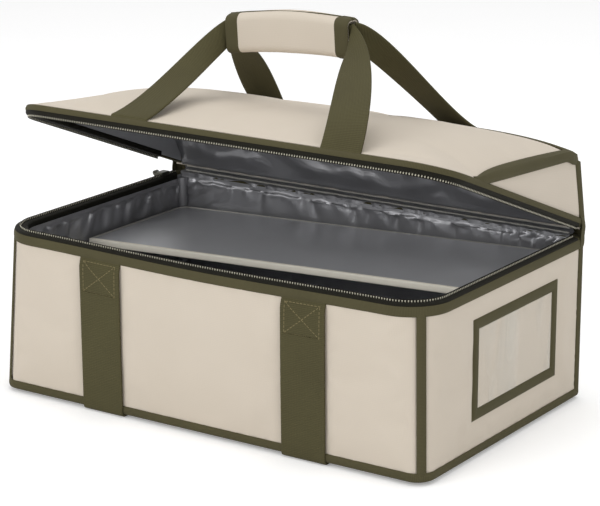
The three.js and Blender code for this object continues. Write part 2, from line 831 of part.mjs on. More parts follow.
add('rim_binding', hoop([
  [tapeOuter, rimTapeBottom],
  [tapeOuter, rimHeight],
  [-liningInner, rimHeight],
  [-liningInner, rimHeight - tapeThickness],
  [tapeInner, rimHeight - tapeThickness],
  [tapeInner, rimTapeBottom],
]), olive());
add('base_binding', hoop([
  [tapeOuter, baseTapeTop],
  [tapeInner, baseTapeTop],
  [tapeInner, wallBottom - layerGap],
  [-baseTapeUnder, wallBottom - layerGap],
  [-baseTapeUnder, baseTapeZ],
  [tapeOuter - baseTapeChamfer, baseTapeZ],
  [tapeOuter, baseTapeZ + baseTapeChamfer],
]), olive());
const tapeFoot = baseTapeTop + layerGap;
const tapeHead = rimTapeBottom - layerGap;
add('front_left_binding', cornerTape(corners.frontLeft, tapeFoot, tapeHead), olive());
add('front_right_binding', cornerTape(corners.frontRight, tapeFoot, tapeHead), olive());
add('back_left_binding', cornerTape(corners.backLeft, tapeFoot, tapeHead), olive());
add('back_right_binding', cornerTape(corners.backRight, tapeFoot, tapeHead), olive());

add('left_strap', boxStrap(-strapSpacing / 2), webbing());
add('right_strap', boxStrap(strapSpacing / 2), webbing());

add('window_frame', windowFrame(), olive());
const filmX = halfWidth + tapeInner;
const filmOutline = windowPlate(windowBar + layerGap);
const film = finish(filmColour, 0.15, 0, 0.4);
add('window_film', plateAlongX(filmOutline, filmX, filmX + windowFilmThickness), film);

for (const [name, geometry, material] of [
  ['shelf_board', shelfBoard(), shiny()],
  ['shelf_edge', shelfEdge(), canvas()],
]) {
  const piece = add(name, geometry, material);
  piece.position.z = rimHeight - shelfBelowRim;
  piece.rotation.y = -shelfTilt * radians;
}

add('lower_zip', zipRun(zipSection(rimHeight, hinge.z - zipMeshGap / 2)), finish(coilColour, 0.5));
addToLid('upper_zip', zipRun(zipSection(lidRimZ, hinge.z + zipMeshGap / 2)), finish(coilColour, 0.5));
add('zip_slider', zipSlider(), finish(metalColour, 0.35, 1));
const pull = add('zip_pull', zipPull(), finish(metalColour, 0.35, 1));
pull.position.set(slider.barX, slider.y, slider.barZ);

const stripFoot = hinge.z - hingeStripHeight;
add('hinge_strip', hingeStrip(stripFoot, hinge.z - hingeFoldGap), olive());
addToLid('lid_hinge_strip', hingeStrip(hinge.z + hingeFoldGap, hinge.z + hingeStripHeight), olive());

const topFoam = lidTopLayer(foamOuter + lidLayerEase, foamInner, foamOuter);
const topLining = lidTopLayer(liningOuter + lidLayerEase, liningInner + lidLayerEase, liningOuter);
addToLid('lid_top_panel', lidTopLayer(0, skinThickness, 0), canvas());
addToLid('lid_top_foam', topFoam, foam());
addToLid('lid_top_lining', topLining, shiny());
const backPanel = lidBackLayer(0, skinThickness, backRadius, foamOuter + lidSeamAllowance);
const backFoam = lidBackLayer(foamOuter, foamInner, foamOuter, liningOuter + lidSeamAllowance);
const backLining = lidBackLayer(liningOuter, liningInner, liningOuter, liningClear + lidSeamAllowance);
addToLid('lid_back_panel', backPanel, canvas());
addToLid('lid_back_foam', backFoam, foam());
addToLid('lid_back_lining', backLining, shiny());
for (const [name, sign] of [['left', -1], ['right', 1]]) {
  const sidePanel = lidSideLayer(sign, 0, skinThickness, backRadius, foamOuter);
  const sideFoam = lidSideLayer(sign, foamOuter, foamInner, liningOuter, liningOuter);
  const sideLining = lidSideLayer(sign, liningOuter, liningInner, liningInner + layerGap, liningClear);
  addToLid(`lid_${name}_panel`, sidePanel, canvas());
  addToLid(`lid_${name}_foam`, sideFoam, foam());
  addToLid(`lid_${name}_lining`, sideLining, shiny());
  addToLid(`lid_${name}_binding`, lidCornerTape(sign), olive());
}
addToLid('lid_rim_binding', hoop([
  [tapeOuter, lidRimZ],
  [tapeOuter, lidTapeTop],
  [tapeInner, lidTapeTop],
  [tapeInner, lidRimZ + tapeThickness],
  [-liningInner, lidRimZ + tapeThickness],
  [-liningInner, lidRimZ],
]), olive());
addToLid('lid_seam_binding', lidSeamTape(), olive());

for (const [name, side] of [['left', -1], ['right', 1]]) {
  add(`front_${name}_leg`, handleLeg('front', side), webbing());
  add(`back_${name}_leg`, handleLeg('back', side), webbing());
}
add('front_grip_web', askew(webThroughGrip(-1)), webbing());
add('back_grip_web', askew(webThroughGrip(1)), webbing());
add('grip_pad', askew(onGrip(gripPad())), canvas());
add('grip_flap', askew(onGrip(gripFlap())), canvas());
add('grip_loop_strip', askew(closure(0)), olive());
add('grip_hook_strip', askew(closure(1)), olive());

export default bag;
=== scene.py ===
import json
import math

import bpy
import numpy as np
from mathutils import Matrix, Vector, noise


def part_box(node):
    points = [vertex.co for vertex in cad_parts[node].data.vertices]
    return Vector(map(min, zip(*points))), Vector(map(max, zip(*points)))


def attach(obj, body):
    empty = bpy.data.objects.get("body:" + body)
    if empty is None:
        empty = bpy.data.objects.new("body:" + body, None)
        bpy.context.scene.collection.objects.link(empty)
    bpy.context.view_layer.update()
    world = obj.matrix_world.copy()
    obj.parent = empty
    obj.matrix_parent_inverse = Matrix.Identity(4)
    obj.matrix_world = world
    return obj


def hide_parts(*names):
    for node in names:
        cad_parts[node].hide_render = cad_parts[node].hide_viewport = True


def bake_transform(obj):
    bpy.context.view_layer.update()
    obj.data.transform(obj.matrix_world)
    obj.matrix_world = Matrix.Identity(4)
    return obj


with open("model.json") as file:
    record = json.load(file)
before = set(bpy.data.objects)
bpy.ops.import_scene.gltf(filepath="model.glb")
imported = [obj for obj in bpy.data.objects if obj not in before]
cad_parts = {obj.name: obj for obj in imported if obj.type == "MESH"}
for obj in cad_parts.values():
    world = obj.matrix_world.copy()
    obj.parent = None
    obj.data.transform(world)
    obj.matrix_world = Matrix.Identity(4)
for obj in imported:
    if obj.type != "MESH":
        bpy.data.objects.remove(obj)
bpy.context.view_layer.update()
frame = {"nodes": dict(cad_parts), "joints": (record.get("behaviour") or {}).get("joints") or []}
scene = bpy.context.scene
scene.view_settings.view_transform = "Standard"


# All shapes below are worked out in millimetres and become metres when a mesh is made
def nodeBox(node):
    return [np.array(corner) * 1000 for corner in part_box(node)]


halfWidth = nodeBox("right_panel")[1][0]
halfDepth = -nodeBox("front_panel")[0][1]
rimTapeLow, rimTop = (corner[2] for corner in nodeBox("rim_binding"))
baseTapeTop = nodeBox("base_binding")[1][2]
joints = {joint["name"]: joint for joint in frame["joints"]}
hingeY, hingeZ = (value * 1000 for value in joints["lid_hinge"]["pos_m"][1:])
openAngle = math.radians(-joints["lid_hinge"]["range_deg"][0])
lidRim = 2 * hingeZ - rimTop  # the lid's lower edge, as far above the hinge as the rim is below it
ends = (("left", -1), ("right", 1))
print("frame loaded:", len(frame["nodes"]), "nodes")


def smooth(share):
    share = np.clip(share, 0, 1)
    return share * share * (3 - 2 * share)


def ripple(points, size, seed):  # soft noise, one swell about every two sizes
    spot = Vector((seed * 17.3, seed * 5.1, seed * 9.7))
    values = [noise.noise(Vector(point) / size + spot) for point in points.reshape(-1, 3)]
    return np.array(values).reshape(points.shape[:-1])


def at(x, y, z):  # points from coordinates of any shapes that fit together
    return np.stack(np.broadcast_arrays(np.asarray(x, float), y, z), -1)


def distance(points, axis):  # how far a grid has run at each of its rows or columns
    steps = np.linalg.norm(np.diff(points, axis=axis), axis=2).mean(1 - axis)
    return np.concatenate([[0], np.cumsum(steps)])


def only(piece):
    bpy.ops.object.select_all(action="DESELECT")
    piece.select_set(True)
    bpy.context.view_layer.objects.active = piece


def inEditMode(piece, *steps):
    only(piece)
    bpy.ops.object.mode_set(mode="EDIT")
    bpy.ops.mesh.select_all(action="SELECT")
    for step in steps:
        step()
    bpy.ops.object.mode_set(mode="OBJECT")


def mergeDoubles():
    bpy.ops.mesh.remove_doubles(threshold=0.00001)


def faceOut():
    bpy.ops.mesh.normals_make_consistent(inside=False)


def applyModifier(piece, kind, **settings):
    modifier = piece.modifiers.new(kind.lower(), kind)
    for name, value in settings.items():
        setattr(modifier, name, value)
    only(piece)
    bpy.ops.object.modifier_apply(modifier=modifier.name)


def bevelEdges(piece, width, segments, sharperThan):
    applyModifier(piece, "BEVEL", width=width / 1000, segments=segments, limit_method="ANGLE",
                  angle_limit=math.radians(sharperThan))


# A grid is laid over rows x columns of points; its UV map is the flat cloth in metres
def layCloth(name, points, joined=False, capped=False):
    rows, columns = points.shape[:2]
    bpy.ops.object.select_all(action="DESELECT")
    bpy.ops.mesh.primitive_grid_add(x_subdivisions=columns - 1, y_subdivisions=rows - 1, size=1)
    piece = bpy.context.object
    piece.name = name
    mesh = piece.data
    mesh.name = name
    start = np.empty(len(mesh.vertices) * 3, np.float32)
    mesh.vertices.foreach_get("co", start)
    start = start.reshape(-1, 3)
    column = np.rint((start[:, 0] + 0.5) * (columns - 1)).astype(int)
    row = np.rint((start[:, 1] + 0.5) * (rows - 1)).astype(int)
    mesh.vertices.foreach_set("co", (points[row, column] / 1000).astype(np.float32).ravel())
    across, along = distance(points, 1), distance(points, 0)
    corner = np.empty(len(mesh.loops), np.int32)
    mesh.loops.foreach_get("vertex_index", corner)
    flat = np.stack([across[column[corner]], along[row[corner]]], 1) / 1000
    mesh.uv_layers[0].data.foreach_set("uv", flat.astype(np.float32).ravel())
    mesh.update()
    if joined:
        inEditMode(piece, mergeDoubles)
    if capped:
        inEditMode(piece, lambda: bpy.ops.mesh.fill_holes(sides=0), faceOut)
    return piece


def thicken(piece, thickness, rounded=0):
    applyModifier(piece, "SOLIDIFY", thickness=thickness / 1000, offset=-1)
    if rounded:
        bevelEdges(piece, rounded, 2, 60)


# A copy of a CAD node with its doubles merged and its edges rounded
def softCopy(name, node, rounded):
    only(frame["nodes"][node])
    bpy.ops.object.duplicate()
    piece = bpy.context.object
    piece.name = name
    piece.data.name = name
    piece.parent = None
    for key in list(piece.keys()):
        del piece[key]
    inEditMode(piece, mergeDoubles, lambda: bpy.ops.mesh.tris_convert_to_quads())
    bevelEdges(piece, rounded, 3, 30)
    return piece


def wear(piece, body, slot, material, *nodes):
    piece.data.materials.clear()
    piece.data.materials.append(material)
    only(piece)
    bpy.ops.object.shade_smooth_by_angle(angle=math.radians(48))
    if body:
        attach(piece, body)
    if nodes:
        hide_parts(*nodes)


def pointsOf(piece):
    return np.array([vertex.co for vertex in piece.data.vertices])


def movePoints(piece, points):
    piece.data.vertices.foreach_set("co", points.astype(np.float32).ravel())


# Cloth simulation: sewn points stay, spare cloth buckles, pressure fills; no point moves past the cap
def simulate(piece, sewn, plan):
    start = pointsOf(piece)
    group = piece.vertex_groups.new(name="sewn")
    for index, weight in enumerate(sewn.ravel()):
        group.add([index], float(weight), "REPLACE")
    modifier = piece.modifiers.new("cloth", "CLOTH")
    cloth = modifier.settings
    cloth.quality = 5
    cloth.mass = 0.2
    cloth.tension_stiffness = 20
    cloth.compression_stiffness = 20
    cloth.shear_stiffness = 8
    cloth.bending_stiffness = plan["bending"]
    cloth.air_damping = 2
    cloth.vertex_group_mass = "sewn"
    cloth.shrink_min = -plan["spare"]
    cloth.use_pressure = True
    cloth.uniform_pressure_force = plan["pressure"]
    cloth.effector_weights.gravity = 0
    modifier.point_cache.frame_end = plan["frames"]
    for step in range(1, plan["frames"] + 1):
        scene.frame_set(step)
    only(piece)
    bpy.ops.object.modifier_apply(modifier=modifier.name)
    moved = pointsOf(piece) - start
    far = np.linalg.norm(moved, axis=1, keepdims=True) + 1e-9
    cap = plan["cap"] / 1000
    movePoints(piece, start + moved * (np.tanh(far / cap) * cap / far))
    piece.vertex_groups.clear()
    piece.data.update()
    scene.frame_set(1)


def linear(code):  # sRGB hex to linear
    parts = [int(code[i:i + 2], 16) / 255 for i in (0, 2, 4)]
    return tuple(c / 12.92 if c <= 0.04045 else ((c + 0.055) / 1.055) ** 2.4 for c in parts) + (1.0,)


def bands(millimetres):  # wave texture scale for one band in so many millimetres
    return 2 * math.pi / (20 * millimetres / 1000)


def feed(tree, made, inputs):  # a socket is linked, a value is set
    for name, value in inputs.items():
        if isinstance(value, bpy.types.NodeSocket):
            tree.links.new(value, made.inputs[name])
        else:
            made.inputs[name].default_value = value


def node(tree, kind, inputs, result=0, **settings):
    made = tree.nodes.new("ShaderNode" + kind)
    for name, value in settings.items():
        setattr(made, name, value)
    feed(tree, made, inputs)
    return made.outputs[result] if made.outputs else made


def newMaterial(name):
    material = bpy.data.materials.new(name)
    material.use_nodes = True
    tree = material.node_tree
    place = tree.nodes.new("ShaderNodeTexCoord").outputs
    return material, tree, tree.nodes["Principled BSDF"], place


def maths(tree, operation, *values):
    return node(tree, "Math", dict(enumerate(values)), operation=operation)


def remap(tree, value, low, high):
    return node(tree, "MapRange", {"Value": value, "To Min": low, "To Max": high})


def clouds(tree, vector, scale, detail, **more):
    return node(tree, "TexNoise", {"Vector": vector, "Scale": scale, "Detail": detail, **more}, "Fac")


def waves(tree, place, apart, direction, distortion):
    inputs = {"Vector": place["UV"], "Scale": bands(apart), "Distortion": distortion, "Detail": 1.0}
    return node(tree, "TexWave", inputs, "Fac", bands_direction=direction)


def between(tree, share, dark, colour):
    inputs = {"Factor": share, "A": linear(dark), "B": linear(colour)}
    return node(tree, "Mix", inputs, "Result", data_type="RGBA")


def bumps(tree, height, strength, depth):
    return node(tree, "Bump", {"Height": height, "Strength": strength, "Distance": depth})


# Coated polyester canvas: plain weave under a matt coat, so it is almost even, with a fine grain
def coatedCanvas(name, colour, dark):
    material, tree, shader, place = newMaterial(name)
    # threads are about 0.5 mm apart; drawn at 1.7 mm so that they show
    weave = maths(tree, "MAXIMUM", *(waves(tree, place, 1.7, way, 0.6) for way in "XY"))
    cloudy = clouds(tree, place["Object"], 14.0, 4.0)
    tones = {"Factor": 1.0, "A": between(tree, cloudy, dark, colour), "B": remap(tree, weave, 0.97, 1.0)}
    height = maths(tree, "ADD", weave, clouds(tree, place["Object"], 60.0, 3.0))
    feed(tree, shader, {
        "Base Color": node(tree, "Mix", tones, "Result", data_type="RGBA", blend_type="MULTIPLY"),
        "Normal": bumps(tree, height, 0.1, 0.0006),
        "Roughness": remap(tree, cloudy, 0.62, 0.78),
        "IOR": 1.45, "Specular IOR Level": 0.3, "Sheen Weight": 0.05,
    })
    return material


# Woven polyester band: ribs run across it, and lengthwise threads part it into fine rows
def wovenBand(name, colour, dark, rib, row, depth):
    material, tree, shader, place = newMaterial(name)
    ribs = waves(tree, place, rib, "Y", 0.4)
    weave = maths(tree, "MULTIPLY_ADD", waves(tree, place, row, "X", 0.3), 0.2, ribs)
    tone = maths(tree, "ADD", weave, clouds(tree, place["Object"], 22.0, 5.0))
    share = node(tree, "MapRange", {"Value": tone, "From Min": 0.2, "From Max": 1.7})
    feed(tree, shader, {
        "Base Color": between(tree, share, dark, colour), "Normal": bumps(tree, weave, depth, 0.0008),
        "Roughness": 0.8, "Specular IOR Level": 0.14, "Sheen Weight": 0.02,
    })
    return material


# Metal-coated plastic film: grey and glossy, with small creases that catch the light
def insulatingFilm(name, colour, dark, crease, gloss, metallic):
    material, tree, shader, place = newMaterial(name)
    large = clouds(tree, place["Object"], 20.0, 2.0, Roughness=0.45, Distortion=0.4)
    cells = {"Vector": place["Object"], "Scale": 95.0}
    fine = node(tree, "TexVoronoi", cells, "Distance", feature="SMOOTH_F1")
    feed(tree, shader, {
        "Base Color": between(tree, large, dark, colour),
        "Normal": bumps(tree, maths(tree, "MULTIPLY_ADD", fine, 0.1, large), crease, 0.004),
        "Roughness": remap(tree, large, gloss, gloss + 0.14),
        "Metallic": metallic,
    })
    return material


# Clear soft vinyl: see-through, with a hard gloss and wavy reflections from its bumps; its pale colour shows
# more in slanted streaks, which are painted reflections
def clearVinyl(name):
    material, tree, shader, place = newMaterial(name)
    slant = node(tree, "Mapping", {"Vector": place["Object"], "Rotation": (0.5, 0, 0), "Scale": (1, 1, 0.3)})
    wavy = clouds(tree, slant, 34.0, 1.0, Distortion=0.3)
    # painted reflections: the pale film turns more opaque in slanted streaks that stand for the glare on it
    paintedStreaks = {"Value": wavy, "From Min": 0.5, "From Max": 0.75, "To Min": 0.1, "To Max": 0.34}
    feed(tree, shader, {
        "Base Color": linear("e9e4d8"), "Normal": bumps(tree, wavy, 0.25, 0.006),
        "Alpha": node(tree, "MapRange", paintedStreaks), "Roughness": 0.12, "IOR": 1.53, "Coat Weight": 0.6,
    })
    return material


# Small even parts: moulded nylon, die-cast zinc, sewing thread, hook-and-loop pile
def plainFinish(name, colour, dark, grain, rough, metallic=0.0, depth=0.1):
    material, tree, shader, place = newMaterial(name)
    speck = clouds(tree, place["Object"], 1000 / grain, 3.0)
    feed(tree, shader, {
        "Base Color": between(tree, speck, dark, colour), "Normal": bumps(tree, speck, depth, 0.001),
        "Roughness": rough, "Metallic": metallic,
    })
    return material


creamCanvas = coatedCanvas("cream coated canvas", "d5cabb", "cdc2b2")
# painted light: the divider's cream edge binding is painted near white, as if brightly lit
creamEdgePaintedLight = coatedCanvas("cream binding with painted light", "f9f4e6", "f2ecdc")
oliveTape = wovenBand("olive grosgrain tape", "565139", "46422e", 1.3, 0.9, 0.18)
oliveWebbing = wovenBand("olive polyester webbing", "545035", "443f2b", 1.7, 3.0, 0.3)
zipTape = wovenBand("dark zip tape", "1e1c14", "12110b", 1.5, 1.5, 0.3)
greyFilm = insulatingFilm("grey metallised lining", "b2b2b5", "98989b", 0.06, 0.31, 0.65)
# a darker copy of the grey lining film: painted shade on the lid's underside and in the hinge fold
shadedLidFilm = insulatingFilm("grey lid lining with painted shade", "97979a", "808083", 0.12, 0.28, 0.5)
# a lighter copy of the grey lining film: painted light on the lid's side linings, which face the opening, and
# on the divider
paleLitFilm = insulatingFilm("lighter grey film with painted light", "c6c7ca", "b7b8bb", 0.05, 0.3, 0.35)
clearFilm = clearVinyl("clear vinyl window")
# the coil's own colour raised to the brightness of the highlights on its teeth: part own colour, part painted
# highlight
coilWithPaintedGlint = plainFinish("nylon zip coil with painted highlights", "cdc9b8", "aaa590", 1.5, 0.36)
zincMetal = plainFinish("darkened zinc alloy", "55534b", "403f38", 2.0, 0.42, 0.9)
greyPiping = plainFinish("pale grey vinyl piping", "bcbab2", "a6a49c", 4.0, 0.4)
tanThread = plainFinish("tan sewing thread", "867a52", "6d6342", 0.8, 0.7, 0.0, 0.3)
loopPile = plainFinish("hook and loop pile", "4d4a37", "39372a", 0.7, 0.95, 0.0, 0.6)
print("materials ready:", len(bpy.data.materials))


def sewn(name, points, thickness, body, slot, material, *nodes, rounded=0, joined=False):
    piece = layCloth(name, points, joined)
    thicken(piece, thickness, rounded)
    wear(piece, body, slot, material, *nodes)
    return piece


def bound(name, points, body, *nodes, joined=False):  # folded grosgrain over a raw edge
    sewn(name, points, 1.0, body, "binding", oliveTape, *nodes, rounded=0.25, joined=joined)


# The bag's plan: four sides, with wide rounded front corners and tight back corners
bag = {
    "frontRadiusBase": 16, "frontRadiusRim": 42, "backRadius": 5, "bothTurns": 60,
    "rimSag": 3.0, "sagFrom": 50, "frontBow": 2.0, "backBow": 1.5, "bowFrom": 90, "bowOver": 45,
    "stiffEnd": 20, "straps": (-117, 117), "webWidth": 48,
}
sides = {
    "front": {"along": (1, 0), "out": (0, -1), "turns": ("front", "front")},
    "right": {"along": (0, 1), "out": (1, 0), "turns": ("front", "back")},
    "back": {"along": (-1, 0), "out": (0, 1), "turns": ("back", "back")},
    "left": {"along": (0, -1), "out": (-1, 0), "turns": ("back", "front")},
}
for plan in sides.values():
    plan["long"] = plan["along"][0] != 0
    plan["reach"], plan["away"] = (halfWidth, halfDepth) if plan["long"] else (halfDepth, halfWidth)


def turnRadius(turn, z, proud):
    grow = (bag["frontRadiusRim"] - bag["frontRadiusBase"]) * np.clip(z / rimTop, 0, 1)
    start = bag["frontRadiusBase"] + grow if turn == "front" else bag["backRadius"] + 0 * grow
    return np.maximum(start + proud, 0.4)


# station 0 to 1 is the first half corner, 1 to 2 the straight, 2 to 3 the last half corner
def wallAt(side, station, z, proud):
    plan = sides[side]
    station, z, proud = np.broadcast_arrays(*(np.asarray(v, float) for v in (station, z, proud)))
    first, last = (turnRadius(turn, z, proud) for turn in plan["turns"])
    firstTurn = (1 - np.clip(station, 0, 1)) * math.pi / 4
    lastTurn = np.clip(station - 2, 0, 1) * math.pi / 4
    reach, away = plan["reach"] + proud, plan["away"] + proud
    along = first - reach + np.clip(station - 1, 0, 1) * (2 * reach - first - last)
    along = along - first * np.sin(firstTurn) + last * np.sin(lastTurn)
    out = away - first * (1 - np.cos(firstTurn)) - last * (1 - np.cos(lastTurn))
    x, y = (along * plan["along"][i] + out * plan["out"][i] for i in (0, 1))
    return at(x, y, z)


# the station that lies so many millimetres from a side's end seam
def stationFromEnd(side, gap, z, atStart):
    turn = sides[side]["turns"][0 if atStart else 1]
    halfTurn = turnRadius(turn, z, 0) * math.pi / 4
    straight = 2 * sides[side]["reach"] - bag["bothTurns"]
    gone = np.where(gap < halfTurn, gap / halfTurn, 1 + (gap - halfTurn) / straight)
    return gone if atStart else 3 - gone


def stations(turnSteps, straightSteps):
    return np.concatenate([
        np.linspace(0, 1, turnSteps, endpoint=False),
        np.linspace(1, 2, straightSteps, endpoint=False),
        np.linspace(2, 3, turnSteps + 1),
    ])


# The open bag gives a little: its front rim sags and its long walls lean out half way up
def settle(points):
    points = np.array(points, float)
    x, y, z = points[..., 0], points[..., 1], points[..., 2]
    middle = smooth(1 - np.abs(x) / (halfWidth - bag["stiffEnd"]))
    belly = np.sin(math.pi * np.clip(z / rimTop, 0, 1)) * middle
    front, back = (smooth((way * y - bag["bowFrom"]) / bag["bowOver"]) for way in (-1, 1))
    sag = bag["rimSag"] * smooth((z - bag["sagFrom"]) / (rimTop - bag["sagFrom"])) * front * middle
    return at(x, y - bag["frontBow"] * belly * front + bag["backBow"] * belly * back, z - sag)


# A tape that runs round the plan: its section goes from inside, over the edge, to outside
def hoop(section, turnSteps=8, straightSteps=34):
    steps = stations(turnSteps, straightSteps)[:-1]
    proud, z = np.array(section, float).T
    rings = np.concatenate([wallAt(side, steps[:, None], z, proud) for side in sides])
    return np.concatenate([rings, rings[:1]])


def polyline(points, step, start=0.5):  # evenly spaced points and directions along a line
    lengths = distance(points[:, None], 0)
    spots = np.arange(step * start, lengths[-1], step)
    even, ahead, behind = (
        np.stack([np.interp(spots + shift, lengths, points[:, i]) for i in range(3)], 1)
        for shift in (0, step / 4, -step / 4)
    )
    heading = ahead - behind
    return even, heading / np.linalg.norm(heading, axis=1, keepdims=True)


# One small shape is modelled once and copied along a line into one mesh
def copyAlong(name, seed, points, heading, up):
    shape = pointsOf(seed)
    faces = [list(face.vertices) for face in seed.data.polygons]
    side = np.cross(up, heading)
    side /= np.linalg.norm(side, axis=1, keepdims=True)
    over = np.cross(heading, side)
    turned = np.einsum("vk,nkj->nvj", shape, np.stack([heading, side, over], 1)) + points[:, None, :] / 1000
    firsts = range(0, len(points) * len(shape), len(shape))
    allFaces = [[first + index for index in face] for first in firsts for face in faces]
    mesh = bpy.data.meshes.new(name)
    mesh.from_pydata(turned.reshape(-1, 3).tolist(), [], allFaces)
    piece = bpy.data.objects.new(name, mesh)
    scene.collection.objects.link(piece)
    return piece


def seedCube(size, rounded):  # a small rounded block, long side first
    bpy.ops.object.select_all(action="DESELECT")
    bpy.ops.mesh.primitive_cube_add(size=1)
    seed = bpy.context.object
    inEditMode(
        seed,
        lambda: bpy.ops.transform.resize(value=tuple(value / 1000 for value in size)),
        lambda: bpy.ops.mesh.bevel(offset=rounded / 1000, segments=1, affect="EDGES"),
    )
    return seed


# Padded walls: canvas over foam, drawn in at the seams and pressed flat under straps and window
wall = {"puff": 3.0, "puffReach": 55, "ripple": 0.5, "rippleSize": 45, "rippleReach": 25, "thickness": 8.0,
        "low": 4.5, "high": 163.5, "seamDip": 2.2, "seamReach": 8, "tapeCover": 4, "held": (6, 16),
        "pressReach": 10, "pressure": 1.2, "spare": 0.006, "bending": 6, "frames": 16, "cap": 2.2}
windowLow, windowHigh = nodeBox("window_frame")


def pressedFlat(side, points):
    if side in ("front", "back"):
        gap = np.min([np.abs(points[..., 0] - strap) for strap in bag["straps"]], 0) - bag["webWidth"] / 2
    elif side == "right":
        middle, half = (windowLow + windowHigh) / 2, (windowHigh - windowLow) / 2
        gap = (np.abs(points - middle) - half)[..., 1:].max(-1)
    else:
        return np.zeros(points.shape[:-1])
    return 1 - smooth(gap / wall["pressReach"])


for side, plan in sides.items():
    steps = stations(9, 84 if plan["long"] else 50)
    station, z = np.meshgrid(steps, np.linspace(wall["low"], wall["high"], 40))
    flat = wallAt(side, station, z, 0.0)
    fromEnds = np.minimum(*(np.linalg.norm(flat - flat[:, [end]], axis=2) for end in (0, -1)))
    fromSeam = np.minimum(fromEnds, np.minimum(z - wall["low"], wall["high"] - z) + wall["tapeCover"])
    press = pressedFlat(side, flat)
    swell = wall["puff"] * smooth(fromSeam / wall["puffReach"]) * (1 - press)
    wavy = wall["ripple"] * ripple(flat, wall["rippleSize"], 3)
    swell += wavy * smooth(fromSeam / wall["rippleReach"]) * (1 - press)
    dip = -wall["seamDip"] * (1 - smooth(fromEnds / wall["seamReach"]))
    piece = layCloth(f"{side}_wall", settle(wallAt(side, station, z, swell + dip)))
    hold = np.interp(fromSeam, wall["held"], [1, 0])
    simulate(piece, np.maximum(hold, np.where(press > 0.5, 1, 0)), wall)
    thicken(piece, wall["thickness"])
    wear(piece, "body", "canvas", creamCanvas, f"{side}_panel", f"{side}_foam")
print("walls done")


# Base: a flat padded board covered in the same canvas, held between the straps and the base tape
base = {"low": 3.6, "thickness": 10, "inset": 1.6, "rings": (0, 0.3, 0.6, 0.85, 0.96, 1.0)}
rim = hoop([(-base["inset"], base["low"])], 9, 60)[:, 0]
centre = np.array([0, 0, base["low"]])
rows = np.stack([centre + (rim - centre) * share for share in base["rings"]])
piece = sewn("base_pad", rows, base["thickness"], "body", "canvas", creamCanvas, "base_panel", "base_board",
             "base_foam", joined=True)


# Binding tapes on the rim, the base and the four upright corners
tape = {"cornerWidth": {"front": 9, "back": 17}, "under": 3, "crown": 1.9, "flatten": 1.1, "wallTop": -10.4}
rimSection = [
    (tape["wallTop"], rimTop - 0.9), (-9.4, rimTop + 0.1), (-5, rimTop + 0.4), (-1, rimTop + 0.2),
    (0.1, rimTop - 0.3), (0.3, rimTop - 1.2), (1.6, rimTop - 1.9), (2.1, rimTop - 3.5), (2.1, rimTop - 7.5),
    (1.6, rimTapeLow + 0.6), (0.9, rimTapeLow - 0.3),
]
baseSection = [
    (0.9, baseTapeTop + 0.3), (1.7, baseTapeTop - 0.8), (2.1, 8), (2.0, 5.4), (1.2, 3.4), (-0.6, 2.5),
    (-4, 2.3), (-9, 2.4), (-11, 3.0),
]
for name, section in (("rim", rimSection), ("base", baseSection)):
    bound(f"{name}_tape", settle(hoop(section)), "body", f"{name}_binding", joined=True)

corners = {"front_right": ("front", "right"), "back_right": ("right", "back"), "back_left": ("back", "left"),
           "front_left": ("left", "front")}
for name, (before, after) in corners.items():
    half = tape["cornerWidth"][name.split("_")[0]] / 2
    c, z = np.meshgrid(np.linspace(-half, half, 11),
                       np.linspace(baseTapeTop - tape["under"], rimTapeLow + tape["under"], 40))
    crown = tape["crown"] - tape["flatten"] * (np.abs(c) / half) ** 3
    left = wallAt(before, stationFromEnd(before, np.maximum(-c, 0), z, False), z, crown)
    right = wallAt(after, stationFromEnd(after, np.maximum(c, 0), z, True), z, crown)
    points = np.where((c < 0)[..., None], left, right)
    bound(f"{name}_corner_tape", settle(points), "body", f"{name}_binding")
print("bindings done")


# Straps: webbing from under the front rim tape, down, below the base and up the back
strap = {"outside": 3.8, "thickness": 2.0, "tuckTop": rimTapeLow + 4, "tuckReach": 14, "tuckIn": 3.1,
         "bend": 5, "downSteps": 46, "wander": 1.2, "boxWidth": 38, "boxHeight": 30, "boxTop": 152,
         "stitch": (2.9, 0.75, 0.5), "stitchStep": 3.9, "stitchProud": 0.05}


def strapLine():
    z = np.linspace(strap["tuckTop"], strap["bend"], strap["downSteps"])
    tucked = smooth((z - (strap["tuckTop"] - strap["tuckReach"])) / strap["tuckReach"])
    down = np.stack([-(halfDepth + strap["outside"] - strap["tuckIn"] * tucked), z], 1)
    angle = np.linspace(0, math.pi / 2, 7)[1:]
    bend = strap["bend"]
    flatY = halfDepth + strap["outside"] - bend
    turn = np.stack([-flatY - bend * np.cos(angle), bend - bend * np.sin(angle)], 1)
    under = np.stack([np.linspace(-flatY, 0, 24)[1:], np.zeros(23)], 1)
    front = np.concatenate([down, turn, under])
    return np.concatenate([front, front[::-1][1:] * (-1, 1)])


